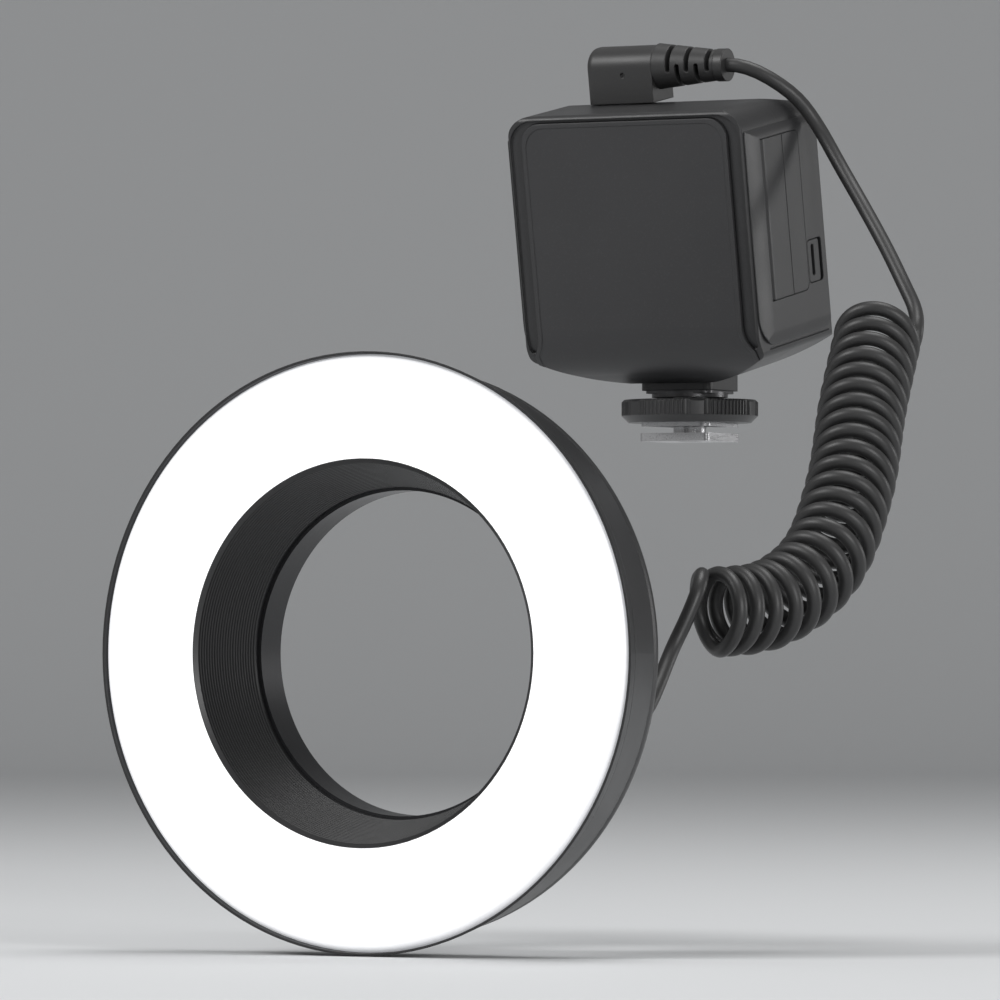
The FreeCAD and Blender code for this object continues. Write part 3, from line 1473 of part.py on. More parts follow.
def least_gap(edges):
    """The least clear space between stretches of the coil that are over half a curl apart."""
    step = 0.8
    spots = []
    travelled = 0.0
    for edge in edges:
        count = max(1, int(edge.Length / step))
        low, high = edge.FirstParameter, edge.LastParameter
        for number in range(count):
            spots.append((travelled + edge.Length * number / count,
                          edge.valueAt(low + (high - low) * number / count)))
        travelled += edge.Length
    curl = 2 * math.pi * size.curl_radius
    best = (1e9, 0.0)
    for index, (place, spot) in enumerate(spots):
        for other, (far, there) in enumerate(spots[index:], start=index):
            apart = far - place
            if apart < curl / 2:
                continue
            if apart > curl * 1.6:
                break
            best = min(best, ((spot - there).Length, place))
    return best[0] - 2 * size.cord_radius, best[1]


def cord_coil():
    edges = forward_edges(coil_path())
    gap, place = least_gap(edges)
    shape, wire = swept(edges, size.cord_radius)
    ratio = shape.Volume / (math.pi * size.cord_radius**2 * wire.Length)
    print(f"coil: {len(edges)} edges, length {wire.Length:.1f} mm, least gap {gap:.2f} mm at {place:.0f} mm,"
          f" volume ratio {ratio:.4f}")
    return plain("Coil", shape)


def cord_upper():
    route = [boot_mouth, boot_lead] + [Vector(*one) for one in UPPER_POINTS] + [upper_end]
    return plain("CordUpper", route_tube("upper cord", route, size.cord_radius))


def cord_lower():
    route = [lower_start] + [Vector(*one) for one in LOWER_POINTS] + [gland_lead, gland_mouth]
    return plain("CordLower", route_tube("lower cord", route, size.cord_radius))


# Assembly

keep(ring_housing(), "ring_housing", ring_place)
keep(diffuser(), "diffuser", ring_place)
keep(bore_sleeve(), "bore_sleeve", ring_place)
keep(reflector(), "reflector", ring_place)
keep(led_board(), "led_board", ring_place)
keep(led_chips(), "led_chips", ring_place)
keep(rear_cover(), "ring_rear_cover", ring_place)
keep(rear_screws(), "ring_screws", ring_place)
keep(adapter_retainer(), "adapter_retainer", ring_place)
keep(retainer_screws(), "retainer_screws", ring_place)
keep(adapter_ring(), "adapter_ring", ring_place)
keep(cable_gland(), "cable_gland", ring_place)

front_shell, rear_shell = shells()
keep(front_shell, "front_shell", head_place)
keep(rear_shell, "rear_shell", head_place)
keep(front_panel(), "front_panel", head_place)
keep(side_pad("PadRight", 1), "side_pad_right", head_place)
keep(side_pad("PadLeft", -1), "side_pad_left", head_place)
keep(casing_screws(), "casing_screws", head_place)
keep(battery_door(), "battery_door", head_place)
keep(group("DoorContactPlaced", [door_contact()]), "door_contact", head_place)
keep(group("HingePinPlaced", [hinge_pin()]), "door_hinge_pin", head_place)
keep(door_latch(), "door_latch", head_place)
keep(battery_tray(), "battery_tray", head_place)
keep(batteries(), "batteries", head_place)
keep(contact_springs(), "battery_contacts", head_place)
keep(group("MainBoardPlaced", [circuit_board()]), "circuit_board", head_place)
keep(board_posts(), "board_posts", head_place)
keep(switches(), "key_switches", head_place)
keep(display_module(), "display", head_place)
keep(display_window(), "display_window", head_place)
keep(rear_panel(), "rear_panel", head_place)
keep(button_guide(), "key_guide", head_place)
for key in BUTTONS:
    keep(button(key), key, head_place)
keep(top_socket(), "cord_socket", head_place)
keep(group("JackPlaced", [jack_pin()]), "jack_pin", head_place)
keep(plug_body(), "plug_body", head_place)
keep(plug_boot(), "plug_boot", head_place)

keep(neck_block(), "shoe_neck", foot_place)
keep(neck_screws(), "neck_screws", head_place)
keep(neck_plate(), "neck_plate", foot_place)
keep(foot_stem(), "foot_stem", foot_place)
keep(foot_plate(), "foot_plate", foot_place)
keep(foot_screw(), "foot_screw", foot_place)
keep(clamp_washer(), "clamp_washer", foot_place)
keep(lock_wheel(), "lock_wheel", foot_place)

keep(cord_upper(), "cord_upper", ring_place)
keep(cord_coil(), "cord_coil", ring_place)
keep(cord_lower(), "cord_lower", ring_place)

doc.recompute()
for thing in doc.Objects:
    if "Invalid" in thing.State or "Error" in thing.State:
        raise RuntimeError(f"{thing.Name} failed: {thing.State}")
for part in subparts:
    if part.Shape.isNull() or not part.Shape.isValid():
        raise RuntimeError(f"{part.Label} is not a valid shape")

os.makedirs("parts", exist_ok=True)
for part in subparts:
    part.Shape.exportStep(os.path.join("parts", part.Label + ".step"))
    print(f"{part.Label}: {len(part.Shape.Solids)} solids, {part.Shape.Volume / 1000:.2f} cm3")
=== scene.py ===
import math

import bpy
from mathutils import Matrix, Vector


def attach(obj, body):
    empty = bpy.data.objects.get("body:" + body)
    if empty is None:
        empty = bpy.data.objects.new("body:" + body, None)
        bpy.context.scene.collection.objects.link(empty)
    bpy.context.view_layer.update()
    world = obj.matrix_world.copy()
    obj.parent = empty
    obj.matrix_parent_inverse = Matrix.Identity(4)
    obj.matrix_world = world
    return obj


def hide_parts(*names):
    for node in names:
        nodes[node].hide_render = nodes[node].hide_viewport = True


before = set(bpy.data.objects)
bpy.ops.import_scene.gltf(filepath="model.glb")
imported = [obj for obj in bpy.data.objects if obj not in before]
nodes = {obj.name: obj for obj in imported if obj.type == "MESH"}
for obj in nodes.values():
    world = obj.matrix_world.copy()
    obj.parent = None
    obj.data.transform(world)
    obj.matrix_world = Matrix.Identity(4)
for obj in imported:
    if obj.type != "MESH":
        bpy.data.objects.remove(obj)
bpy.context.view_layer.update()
print("frame loaded,", len(nodes), "nodes")

# Metres, in the frame of the model: X right, Y back along the lens axis, Z up.
ringFront = Vector((0, -0.0273, 0))  # middle of the diffuser's face

# Camera

cameraView = {
    "azimuth": 29.1,
    "distance": 1.810,
    "lens": 288.0,
    "sensor": 36.0,
    "aimRight": 0.03145,  # the frame's middle, from the ring's middle
    "aimUp": 0.03468,
}


def placeCamera(view):
    angle = math.radians(view["azimuth"])
    back = Vector((math.sin(angle), -math.cos(angle), 0))
    right = Vector((math.cos(angle), math.sin(angle), 0))
    spot = ringFront + back * view["distance"]
    aim = ringFront + right * view["aimRight"] + Vector((0, 0, view["aimUp"]))
    data = bpy.data.cameras.new("photoCamera")
    data.lens = view["lens"]
    data.sensor_width = view["sensor"]
    data.clip_start = 0.05
    data.clip_end = 30
    camera = bpy.data.objects.new("photoCamera", data)
    bpy.context.scene.collection.objects.link(camera)
    camera.location = spot
    camera.rotation_euler = (aim - spot).to_track_quat("-Z", "Y").to_euler()
    bpy.context.scene.camera = camera


placeCamera(cameraView)
print("camera placed")

# Curly cord: one smooth line from the boot's mouth, through its curls, into the gland on the ring

curlyCord = {
    "radius": 0.00175,
    "start": [(0.017197, 0.124429, 0.142501), (0.022196, 0.124445, 0.142417)],
    "upper": [
        (0.0319, 0.1298, 0.1359), (0.0358, 0.1348, 0.1289), (0.0429, 0.1336, 0.1178),
        (0.0520, 0.1283, 0.1070), (0.0600, 0.1242, 0.0966), (0.0661, 0.1204, 0.0881),
        (0.0703, 0.1187, 0.0815),
    ],
    "curlsMiddle": [
        (0.0642, 0.1107, 0.0768), (0.0664, 0.0967, 0.0578), (0.0700, 0.0822, 0.0387),
        (0.0700, 0.0672, 0.0212), (0.0644, 0.0512, 0.0114), (0.0561, 0.0337, 0.0092),
    ],
    "lower": [
        (0.0574, 0.0300, 0.0180), (0.0588, 0.0262, 0.0150), (0.0568, 0.0238, 0.0079),
        (0.0542, 0.0212, 0.0008), (0.0548, 0.0136, -0.0068), (0.0553, 0.0069, -0.0128),
        (0.05326, 0.00159, -0.01858),
    ],
    "curlRadius": 0.00875,
    "turns": 22.7,
    "pointsPerTurn": 16,
    "lean": 0.85,  # how far the first curls tip forward, fading to none
    "leanWay": (0.486, -0.874, 0),
    "side": (0.874, 0.486, 0),
    "opening": 0.8,  # how far the curls spread where the cord bends
    "tuck": (0.0030, 0.0017, 0),  # how far the last curl is drawn in, behind the strand that leaves it
    "tuckFrom": 22.1,
    "length": 1.386,
}


def smoothSpot(points, place):  # the spot and its heading
    index = min(int(place), len(points) - 2)
    t = place - index
    a, b = points[index], points[index + 1]
    before = points[index - 1] if index > 0 else a * 2 - b
    after = points[index + 2] if index + 2 < len(points) else b * 2 - a
    m, n = (b - before) * 0.5, (after - a) * 0.5
    spot = a * (2 * t**3 - 3 * t**2 + 1) + m * (t**3 - 2 * t**2 + t)
    spot = spot + b * (3 * t**2 - 2 * t**3) + n * (t**3 - t**2)
    slope = (b - a) * (6 * t - 6 * t**2) + m * (3 * t**2 - 4 * t + 1) + n * (3 * t**2 - 2 * t)
    return spot, slope.normalized()


def curlFrames(cord, steps=600):
    points = [Vector(one) for one in cord["curlsMiddle"]]
    side = Vector(cord["side"])
    frames = []
    heading = None
    for number in range(steps + 1):
        along = number / steps
        previous = heading
        spot, heading = smoothSpot(points, (len(points) - 1) * along)
        axis = (heading + Vector(cord["leanWay"]) * cord["lean"] * (1 - along)).normalized()
        side = (side - axis * side.dot(axis)).normalized()
        stride = (spot - frames[-1][0]).length if frames else 0.0
        travelled = frames[-1][3] + stride if frames else 0.0
        bend = (heading - previous).length / stride if frames else 0.0
        frames.append((spot, axis, side.copy(), travelled, bend))
    return frames


def curlCounts(cord, frames, reach=40):
    counts = [0.0]
    for number in range(1, len(frames)):
        near = frames[max(1, number - reach):number + reach]
        bend = sum(one[4] for one in near) / len(near)
        rate = 1 - cord["opening"] * cord["curlRadius"] * bend
        counts.append(counts[-1] + rate * (frames[number][3] - frames[number - 1][3]))
    return [cord["turns"] * one / counts[-1] for one in counts]


def curlSpots(cord):
    frames = curlFrames(cord)
    counts = curlCounts(cord, frames)
    step = 1 / cord["pointsPerTurn"]
    reach = cord["curlRadius"] / math.cos(math.pi * step)  # the line runs inside its control points
    spots = []
    index = 1
    turn = 0.0
    while turn <= cord["turns"]:
        while counts[index] < turn:
            index += 1
        share = (turn - counts[index - 1]) / (counts[index] - counts[index - 1])
        first, second = frames[index - 1], frames[index]
        middle = first[0].lerp(second[0], share)
        heading = first[1].lerp(second[1], share).normalized()
        side = first[2].lerp(second[2], share)
        side = (side - heading * side.dot(heading)).normalized()
        angle = 2 * math.pi * turn
        outward = side * math.cos(angle) + side.cross(heading) * math.sin(angle)
        late = max(0.0, (turn - cord["tuckFrom"]) / (cord["turns"] - cord["tuckFrom"]))
        spots.append(middle + outward * reach + Vector(cord["tuck"]) * math.sin(math.pi * late))
        turn += step
    return spots


def makeCord(cord):
    spots = [Vector(one) for one in cord["start"] + cord["upper"]]
    spots += curlSpots(cord)
    spots += [Vector(one) for one in cord["lower"]]
    data = bpy.data.curves.new("curlyCord", "CURVE")
    data.dimensions = "3D"
    line = data.splines.new("NURBS")
    line.points.add(len(spots) - 1)
    for point, spot in zip(line.points, spots):
        point.co = (*spot, 1.0)
        point.radius = cord["radius"]
    line.order_u = 3
    line.use_endpoint_u = True
    line.resolution_u = 4
    data.resolution_u = 4
    data.bevel_depth = 1.0  # each point's radius gives the thickness
    data.bevel_resolution = 5
    data.use_fill_caps = True
    cordObject = bpy.data.objects.new("curlyCord", data)
    bpy.context.scene.collection.objects.link(cordObject)
    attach(cordObject, "light")
    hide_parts("cord_upper", "cord_coil", "cord_lower")
    return cordObject


cordObject = makeCord(curlyCord)
print("cord drawn")

# Shader node groups


def newGroup(name, inputs, outputs):
    group = bpy.data.node_groups.new(name, "ShaderNodeTree")
    for label, kind, value in inputs:
        socket = group.interface.new_socket(name=label, in_out="INPUT", socket_type=kind)
        socket.default_value = value
    for label, kind in outputs:
        group.interface.new_socket(name=label, in_out="OUTPUT", socket_type=kind)
    start = group.nodes.new("NodeGroupInput")
    end = group.nodes.new("NodeGroupOutput")
    return group, start, end


def addNode(tree, kind, settings=None, values=None):
    node = tree.nodes.new(kind)
    for name, value in (settings or {}).items():
        setattr(node, name, value)
    for name, value in (values or {}).items():
        node.inputs[name].default_value = value
    return node


def mathNode(tree, operation, first, second=None):
    node = addNode(tree, "ShaderNodeMath", {"operation": operation})
    for socket, value in zip(node.inputs, (first, second)):
        if value is None:
            continue
        if isinstance(value, (int, float)):
            socket.default_value = value
        else:
            tree.links.new(value, socket)
    return node.outputs["Value"]


def makeGrainGroup():  # fine moulded grain
    group, start, end = newGroup(
        "mouldedGrain", [("Grain Size", "NodeSocketFloat", 0.0003)], [("Height", "NodeSocketFloat")])
    place = addNode(group, "ShaderNodeTexCoord")
    scale = mathNode(group, "DIVIDE", 1.0, start.outputs["Grain Size"])
    noise = addNode(group, "ShaderNodeTexNoise", values={"Detail": 3.0, "Roughness": 0.6})
    cells = addNode(group, "ShaderNodeTexVoronoi", {"feature": "SMOOTH_F1"}, {"Smoothness": 0.6})
    for texture in (noise, cells):
        group.links.new(place.outputs["Object"], texture.inputs["Vector"])
        group.links.new(scale, texture.inputs["Scale"])
    height = mathNode(group, "ADD", noise.outputs["Fac"], cells.outputs["Distance"])
    group.links.new(mathNode(group, "MULTIPLY", height, 0.5), end.inputs["Height"])
    return group


def makeSheenGroup():  # roughness that drifts, as on handled plastic
    group, start, end = newGroup("handledSheen", [
        ("Roughness", "NodeSocketFloat", 0.4),
        ("Spread", "NodeSocketFloat", 0.06),
        ("Patch Size", "NodeSocketFloat", 0.012),
    ], [("Roughness", "NodeSocketFloat")])
    place = addNode(group, "ShaderNodeTexCoord")
    scale = mathNode(group, "DIVIDE", 1.0, start.outputs["Patch Size"])
    noise = addNode(group, "ShaderNodeTexNoise", values={"Detail": 4.0, "Roughness": 0.55})
    group.links.new(place.outputs["Object"], noise.inputs["Vector"])
    group.links.new(scale, noise.inputs["Scale"])
    centred = mathNode(group, "SUBTRACT", noise.outputs["Fac"], 0.5)
    swing = mathNode(group, "MULTIPLY", centred, start.outputs["Spread"])
    doubled = mathNode(group, "MULTIPLY", swing, 4.0)
    total = mathNode(group, "ADD", doubled, start.outputs["Roughness"])
    group.links.new(total, end.inputs["Roughness"])
    return group


dustPattern = {"patchScale": 45.0, "speckLevel": 0.62, "speckShare": 0.7}


def makeDustGroup(pattern):  # faint pale specks and patches over a colour
    group, start, end = newGroup("faintDust", [
        ("Color", "NodeSocketColor", (0.02, 0.02, 0.02, 1)),
        ("Dust Color", "NodeSocketColor", (0.09, 0.09, 0.09, 1)),
        ("Amount", "NodeSocketFloat", 0.12),
        ("Speck Size", "NodeSocketFloat", 0.0006),
    ], [("Color", "NodeSocketColor")])
    place = addNode(group, "ShaderNodeTexCoord")
    scale = mathNode(group, "DIVIDE", 1.0, start.outputs["Speck Size"])
    fine = addNode(group, "ShaderNodeTexNoise", values={"Detail": 2.0})
    broad = addNode(group, "ShaderNodeTexNoise", values={"Scale": pattern["patchScale"], "Detail": 3.0})
    group.links.new(place.outputs["Object"], fine.inputs["Vector"])
    group.links.new(place.outputs["Object"], broad.inputs["Vector"])
    group.links.new(scale, fine.inputs["Scale"])
    specks = mathNode(group, "GREATER_THAN", fine.outputs["Fac"], pattern["speckLevel"])
    specks = mathNode(group, "MULTIPLY", specks, pattern["speckShare"])
    both = mathNode(group, "ADD", specks, broad.outputs["Fac"])
    mask = mathNode(group, "MULTIPLY", both, start.outputs["Amount"])
    mix = addNode(group, "ShaderNodeMix", {"data_type": "RGBA"})
    group.links.new(mask, mix.inputs["Factor"])
    group.links.new(start.outputs["Color"], mix.inputs["A"])
    group.links.new(start.outputs["Dust Color"], mix.inputs["B"])
    group.links.new(mix.outputs["Result"], end.inputs["Color"])
    return group


def makeBrushGroup():  # long fine lines, as on brushed or turned metal
    group, start, end = newGroup("brushedLines", [
        ("Roughness", "NodeSocketFloat", 0.3),
        ("Spread", "NodeSocketFloat", 0.1),
        ("Stretch", "NodeSocketVector", (200.0, 4000.0, 4000.0)),
    ], [("Height", "NodeSocketFloat"), ("Roughness", "NodeSocketFloat")])
    place = addNode(group, "ShaderNodeTexCoord")
    stretch = addNode(group, "ShaderNodeVectorMath", {"operation": "MULTIPLY"})
    group.links.new(place.outputs["Object"], stretch.inputs[0])
    group.links.new(start.outputs["Stretch"], stretch.inputs[1])
    noise = addNode(group, "ShaderNodeTexNoise", values={"Scale": 1.0, "Detail": 3.0})
    group.links.new(stretch.outputs["Vector"], noise.inputs["Vector"])
    swing = mathNode(group, "MULTIPLY", mathNode(group, "SUBTRACT", noise.outputs["Fac"], 0.5),
                     start.outputs["Spread"])
    total = mathNode(group, "ADD", mathNode(group, "MULTIPLY", swing, 4.0), start.outputs["Roughness"])
    group.links.new(noise.outputs["Fac"], end.inputs["Height"])
    group.links.new(total, end.inputs["Roughness"])
    return group


grainGroup = makeGrainGroup()
sheenGroup = makeSheenGroup()
dustGroup = makeDustGroup(dustPattern)
brushGroup = makeBrushGroup()
print("node groups made")

# Materials


def startMaterial(name, shader):
    material = bpy.data.materials.new(name)
    material.use_nodes = True
    tree = material.node_tree
    surface = tree.nodes["Principled BSDF"]
    for socket, value in shader.items():
        surface.inputs[socket].default_value = value
    return material, tree, surface


def placeGroup(tree, group, values):
    node = tree.nodes.new("ShaderNodeGroup")
    node.node_tree = group
    for socket, value in values.items():
        node.inputs[socket].default_value = value
    return node


def addBump(tree, surface, height, strength, distance, edge=None):
    bump = addNode(tree, "ShaderNodeBump", values={"Strength": strength, "Distance": distance})
    tree.links.new(height, bump.inputs["Height"])
    if edge:  # worn, slightly round edges
        soft = addNode(tree, "ShaderNodeBevel", {"samples": 6}, {"Radius": edge})
        tree.links.new(soft.outputs["Normal"], bump.inputs["Normal"])
    tree.links.new(bump.outputs["Normal"], surface.inputs["Normal"])


plasticDetail = {"specksPerGrain": 2.0, "grainDepth": 0.35}
metalDetail = {"speck": 0.0008, "lineDepth": 0.00004}


def plasticMaterial(name, look):  # moulded plastic or rubber
    color = (*look["color"], 1)
    material, tree, surface = startMaterial(name, {"IOR": look.get("ior", 1.5)})
    dust = placeGroup(tree, dustGroup, {
        "Color": color, "Dust Color": (*look["dust"], 1), "Amount": look["dustAmount"],
        "Speck Size": look["grain"] * plasticDetail["specksPerGrain"]})
    sheen = placeGroup(tree, sheenGroup, {
        "Roughness": look["roughness"], "Spread": look["spread"], "Patch Size": look["patch"]})
    grain = placeGroup(tree, grainGroup, {"Grain Size": look["grain"]})
    tree.links.new(dust.outputs["Color"], surface.inputs["Base Color"])
    tree.links.new(sheen.outputs["Roughness"], surface.inputs["Roughness"])
    depth = look["grain"] * plasticDetail["grainDepth"]
    addBump(tree, surface, grain.outputs["Height"], look["bump"], depth, look.get("edge"))
    return material


def metalMaterial(name, look):  # brushed or turned metal
    material, tree, surface = startMaterial(name, {"Metallic": look["metallic"]})
    brush = placeGroup(tree, brushGroup, {
        "Roughness": look["roughness"], "Spread": look["spread"], "Stretch": look["stretch"]})
    dust = placeGroup(tree, dustGroup, {
        "Color": (*look["color"], 1), "Dust Color": (*look["dust"], 1), "Amount": look["dustAmount"],
        "Speck Size": metalDetail["speck"]})
    tree.links.new(dust.outputs["Color"], surface.inputs["Base Color"])
    tree.links.new(brush.outputs["Roughness"], surface.inputs["Roughness"])
    addBump(tree, surface, brush.outputs["Height"], look["bump"], metalDetail["lineDepth"])
    return material


plasticLooks = {
    "ringBlack": {
        "color": (0.017, 0.017, 0.018), "dust": (0.06, 0.06, 0.062), "dustAmount": 0.08,
        "roughness": 0.34, "spread": 0.03, "patch": 0.02, "grain": 0.00022, "bump": 0.10, "edge": 0.00025},
    "shellBlack": {
        "color": (0.020, 0.020, 0.021), "dust": (0.075, 0.075, 0.078), "dustAmount": 0.10,
        "roughness": 0.42, "spread": 0.03, "patch": 0.015, "grain": 0.00032, "bump": 0.30, "edge": 0.0004},
    "panelBlack": {
        "color": (0.026, 0.026, 0.0275), "dust": (0.09, 0.09, 0.092), "dustAmount": 0.10,
        "roughness": 0.46, "spread": 0.02, "patch": 0.02, "grain": 0.00028, "bump": 0.22, "edge": 0.0004},
    "boreBlack": {
        "color": (0.018, 0.018, 0.019), "dust": (0.06, 0.06, 0.06), "dustAmount": 0.08,
        "roughness": 0.40, "spread": 0.03, "patch": 0.02, "grain": 0.0002, "bump": 0.10},
    "innerBlack": {
        "color": (0.05, 0.05, 0.05), "dust": (0.10, 0.10, 0.10), "dustAmount": 0.15,
        "roughness": 0.55, "spread": 0.05, "patch": 0.01, "grain": 0.0004, "bump": 0.25},
    "cordBlack": {
        "color": (0.021, 0.021, 0.0215), "dust": (0.085, 0.083, 0.08), "dustAmount": 0.14,
        "roughness": 0.44, "spread": 0.05, "patch": 0.02, "grain": 0.00018, "bump": 0.15, "edge": 0.0004},
    "wheelBlack": {
        "color": (0.022, 0.022, 0.023), "dust": (0.08, 0.08, 0.08), "dustAmount": 0.12,
        "roughness": 0.40, "spread": 0.04, "patch": 0.006, "grain": 0.00022, "bump": 0.15, "edge": 0.0002},
    "keyGrey": {
        "color": (0.10, 0.10, 0.104), "dust": (0.2, 0.2, 0.2), "dustAmount": 0.12,
        "roughness": 0.6, "spread": 0.05, "patch": 0.004, "grain": 0.0002, "bump": 0.25, "edge": 0.0003},
    "trayWhite": {
        "color": (0.86, 0.86, 0.85), "dust": (0.6, 0.59, 0.56), "dustAmount": 0.06,
        "roughness": 0.25, "spread": 0.04, "patch": 0.01, "grain": 0.0004, "bump": 0.05},
    "boardGreen": {
        "color": (0.03, 0.16, 0.07), "dust": (0.10, 0.28, 0.16), "dustAmount": 0.3,
        "roughness": 0.28, "spread": 0.04, "patch": 0.006, "grain": 0.0009, "bump": 0.3},
    "chipCream": {
        "color": (0.84, 0.80, 0.55), "dust": (0.6, 0.55, 0.35), "dustAmount": 0.2,
        "roughness": 0.3, "spread": 0.04, "patch": 0.003, "grain": 0.0003, "bump": 0.1},
    "cellWrap": {
        "color": (0.10, 0.13, 0.17), "dust": (0.4, 0.42, 0.45), "dustAmount": 0.12,
        "roughness": 0.22, "spread": 0.04, "patch": 0.01, "grain": 0.0009, "bump": 0.06},
    "lcdGrey": {
        "color": (0.20, 0.235, 0.20), "dust": (0.28, 0.31, 0.27), "dustAmount": 0.2,
        "roughness": 0.3, "spread": 0.03, "patch": 0.01, "grain": 0.0005, "bump": 0.04},
}

metalLooks = {
    "screwSteel": {
        "color": (0.16, 0.16, 0.165), "dust": (0.4, 0.4, 0.4), "dustAmount": 0.15, "metallic": 1.0,
        "roughness": 0.34, "spread": 0.06, "stretch": (1500.0, 1500.0, 1500.0), "bump": 0.2},
    "anodisedBlack": {
        "color": (0.024, 0.024, 0.026), "dust": (0.08, 0.08, 0.08), "dustAmount": 0.1, "metallic": 0.7,
        "roughness": 0.36, "spread": 0.05, "stretch": (300.0, 6000.0, 300.0), "bump": 0.25},
    "contactBrass": {
        "color": (0.78, 0.62, 0.32), "dust": (0.45, 0.33, 0.15), "dustAmount": 0.2, "metallic": 1.0,
        "roughness": 0.27, "spread": 0.06, "stretch": (1200.0, 1200.0, 1200.0), "bump": 0.15},
    "footSteel": {
        "color": (0.50, 0.50, 0.51), "dust": (0.3, 0.3, 0.3), "dustAmount": 0.2, "metallic": 1.0,
        "roughness": 0.31, "spread": 0.08, "stretch": (5000.0, 250.0, 5000.0), "bump": 0.3},
    "plateDark": {
        "color": (0.07, 0.07, 0.073), "dust": (0.25, 0.25, 0.25), "dustAmount": 0.15, "metallic": 0.9,
        "roughness": 0.33, "spread": 0.06, "stretch": (400.0, 4000.0, 4000.0), "bump": 0.2},
}

materials = {name: plasticMaterial(name, look) for name, look in plasticLooks.items()}
materials.update({name: metalMaterial(name, look) for name, look in metalLooks.items()})

diffuserGlow = {
    "outer": 0.0678,  # radius of the diffuser, with its bevel inside it
    "bevel": 0.0030,
    "wobble": 0.0012,
    "middleColor": (1.0, 1.0, 1.0),
    "rimColor": (0.42, 0.43, 0.45),
    "base": (0.70, 0.70, 0.71),
    "strength": 0.66,
}


def glowMaterial(glow):  # lit opal plastic, duller at its outer bevel
    material, tree, surface = startMaterial("opalWhite", {
        "Roughness": 0.35, "Emission Strength": glow["strength"], "Base Color": (*glow["base"], 1)})
    place = addNode(tree, "ShaderNodeTexCoord")
    parts = addNode(tree, "ShaderNodeSeparateXYZ")
    tree.links.new(place.outputs["Object"], parts.inputs["Vector"])
    squares = [mathNode(tree, "MULTIPLY", parts.outputs[axis], parts.outputs[axis]) for axis in "XZ"]
    radius = mathNode(tree, "SQRT", mathNode(tree, "ADD", *squares))
    cloud = addNode(tree, "ShaderNodeTexNoise", values={"Scale": 90.0, "Detail": 3.0})
    tree.links.new(place.outputs["Object"], cloud.inputs["Vector"])
    centred = mathNode(tree, "SUBTRACT", cloud.outputs["Fac"], 0.5)
    wobble = mathNode(tree, "MULTIPLY", centred, glow["wobble"])
    ramp = addNode(tree, "ShaderNodeMapRange", {"interpolation_type": "SMOOTHSTEP"}, {
        "From Min": glow["outer"] - glow["bevel"], "From Max": glow["outer"]})
    tree.links.new(mathNode(tree, "ADD", radius, wobble), ramp.inputs["Value"])
    mix = addNode(tree, "ShaderNodeMix", {"data_type": "RGBA"}, {
        "A": (*glow["middleColor"], 1), "B": (*glow["rimColor"], 1)})
    tree.links.new(ramp.outputs["Result"], mix.inputs["Factor"])
    tree.links.new(mix.outputs["Result"], surface.inputs["Emission Color"])
    return material


windowGlass = {"color": (0.45, 0.47, 0.48), "ior": 1.49, "roughness": 0.05, "spread": 0.01, "patch": 0.01}


def glassMaterial(look):  # smoked clear window
    material, tree, surface = startMaterial("smokedWindow", {
        "Base Color": (*look["color"], 1), "Transmission Weight": 1.0, "IOR": look["ior"]})
    sheen = placeGroup(tree, sheenGroup, {
        "Roughness": look["roughness"], "Spread": look["spread"], "Patch Size": look["patch"]})
    tree.links.new(sheen.outputs["Roughness"], surface.inputs["Roughness"])
    return material


materials["opalWhite"] = glowMaterial(diffuserGlow)
materials["smokedWindow"] = glassMaterial(windowGlass)

finishOfNode = {
    "ringBlack": ["ring_housing", "ring_rear_cover"],
    "opalWhite": ["diffuser"],
    "boreBlack": ["bore_sleeve"],
    "trayWhite": ["reflector"],
    "boardGreen": ["led_board", "circuit_board"],
    "chipCream": ["led_chips", "key_switches"],
    "screwSteel": [
        "ring_screws", "retainer_screws", "casing_screws", "neck_screws", "foot_screw", "door_hinge_pin"],
    "anodisedBlack": ["adapter_ring", "adapter_retainer"],
    "cordBlack": ["cable_gland", "plug_boot", "plug_body"],
    "shellBlack": [
        "front_shell", "rear_shell", "side_pad_right", "side_pad_left", "battery_door", "door_latch",
        "shoe_neck", "cord_socket"],
    "panelBlack": ["front_panel", "rear_panel"],
    "innerBlack": ["battery_tray", "key_guide", "board_posts"],
    "cellWrap": ["batteries"],
    "contactBrass": ["battery_contacts", "door_contact", "jack_pin"],
    "lcdGrey": ["display"],
    "smokedWindow": ["display_window"],
    "keyGrey": ["power_button", "mode_button", "minus_button", "plus_button"],
    "footSteel": ["foot_plate", "foot_stem", "clamp_washer"],
    "plateDark": ["neck_plate"],
    "wheelBlack": ["lock_wheel"],
}


def paint(thing, name):
    thing.data.materials.clear()
    thing.data.materials.append(materials[name])


for finish, names in finishOfNode.items():
    for name in names:
        paint(nodes[name], finish)
paint(cordObject, "cordBlack")
print("materials given")

# Studio

studio = {
    "floorUnder": -0.0686,
    "width": 7.6,
    "front": -3.4,
    "back": 3.6,
    "sweep": 0.9,
    "sweepSteps": 14,
    "roughness": 0.85,
    "height": 3.2,
    "color": (0.62, 0.63, 0.64),
}

lamps = {
    "keyLamp": {"spot": (-1.0, -1.4, 1.3), "size": 0.8, "power": 24.0},
    "sideLamp": {"spot": (1.6, -0.9, 0.5), "size": 0.5, "power": 13.0},
    "rimLamp": {"spot": (1.1, 1.2, 0.25), "size": 0.4, "power": 3.0},
    "topLamp": {"spot": (0.2, 0.3, 1.6), "size": 0.8, "power": 12.0},
}
lampAim = Vector((0.02, 0.05, 0.04))
worldStrength = 0.28


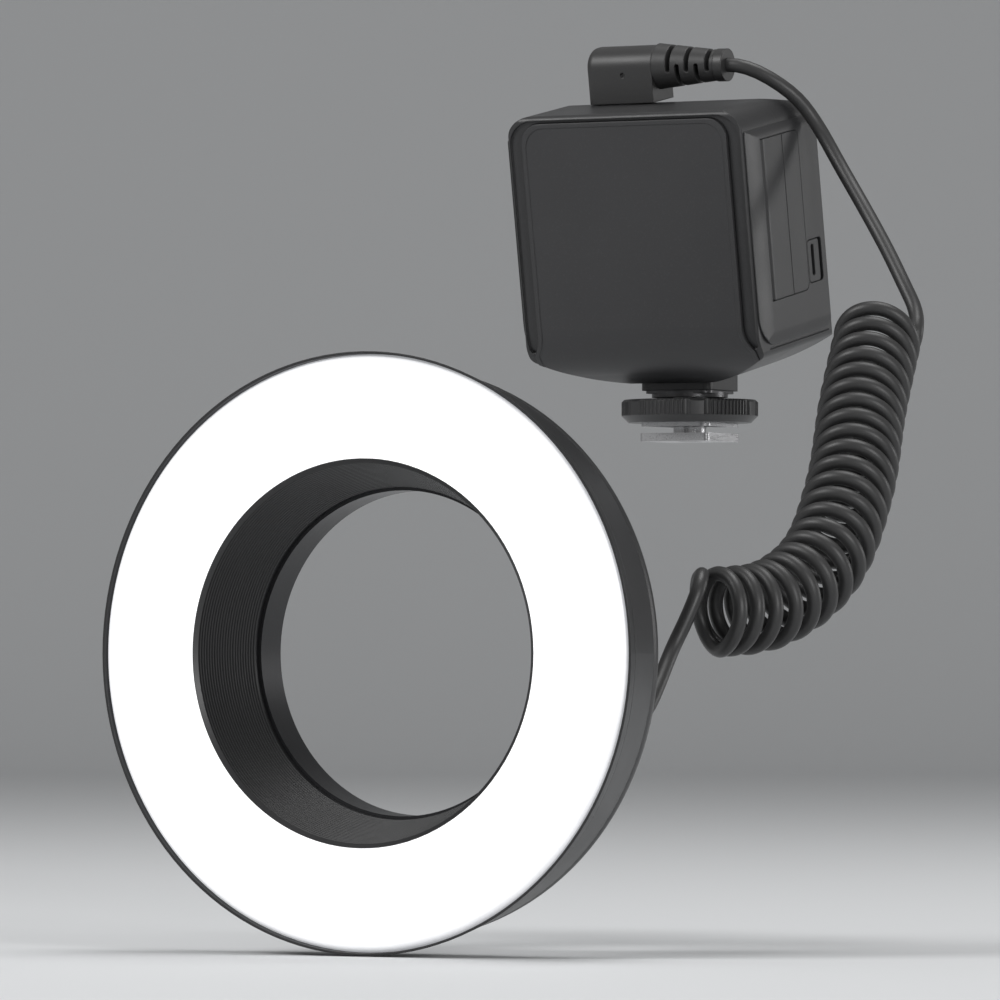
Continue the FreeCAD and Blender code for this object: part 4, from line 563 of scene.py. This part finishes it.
def makeStudio(room):
    bpy.ops.object.select_all(action="DESELECT")
    bpy.ops.mesh.primitive_plane_add(size=1, location=(0, 0, 0))
    floor = bpy.context.object
    floor.name = "studioFloor"
    depth = room["back"] - room["front"]
    bpy.ops.transform.resize(value=(room["width"], depth, 1))
    bpy.ops.transform.translate(value=(0, (room["back"] + room["front"]) / 2, room["floorUnder"]))
    bpy.ops.object.transform_apply(location=True, rotation=True, scale=True)
    mesh = floor.data
    slack = 0.01
    bpy.ops.object.mode_set(mode="EDIT")
    bpy.ops.mesh.select_all(action="DESELECT")
    bpy.ops.object.mode_set(mode="OBJECT")
    for edge in mesh.edges:  # the far edge rises into the backdrop
        edge.select = all(mesh.vertices[index].co.y > room["back"] - slack for index in edge.vertices)
    bpy.ops.object.mode_set(mode="EDIT")
    bpy.ops.mesh.extrude_region_move(TRANSFORM_OT_translate={"value": (0, 0, room["height"])})
    bpy.ops.mesh.select_all(action="DESELECT")
    bpy.ops.object.mode_set(mode="OBJECT")
    for edge in mesh.edges:  # the crease between the two is rounded
        ends = [mesh.vertices[index].co for index in edge.vertices]
        edge.select = all(
            end.y > room["back"] - slack and end.z < room["floorUnder"] + slack for end in ends)
    bpy.ops.object.mode_set(mode="EDIT")
    bpy.ops.mesh.bevel(offset=room["sweep"], segments=room["sweepSteps"])
    bpy.ops.object.mode_set(mode="OBJECT")
    bpy.ops.object.shade_smooth()
    turn = math.radians(cameraView["azimuth"])
    bpy.ops.transform.rotate(value=-turn, orient_axis="Z", center_override=(0, 0, 0))
    bpy.ops.object.transform_apply(location=True, rotation=True, scale=True)
    material, tree, surface = startMaterial("studioPale", {
        "Base Color": (*room["color"], 1), "Roughness": room["roughness"]})
    floor.data.materials.append(material)


def makeLamps():
    for name, lamp in lamps.items():
        data = bpy.data.lights.new(name, "AREA")
        data.size = lamp["size"]
        data.energy = lamp["power"]
        light = bpy.data.objects.new(name, data)
        bpy.context.scene.collection.objects.link(light)
        light.location = lamp["spot"]
        light.rotation_euler = (lampAim - light.location).to_track_quat("-Z", "Y").to_euler()
    world = bpy.data.worlds.new("studioWorld")
    world.use_nodes = True
    background = world.node_tree.nodes["Background"]
    background.inputs["Color"].default_value = (1, 1, 1, 1)
    background.inputs["Strength"].default_value = worldStrength
    bpy.context.scene.world = world


makeStudio(studio)
makeLamps()
bpy.context.scene.view_settings.view_transform = "Standard"
print("studio lit")

bpy.context.view_layer.update()
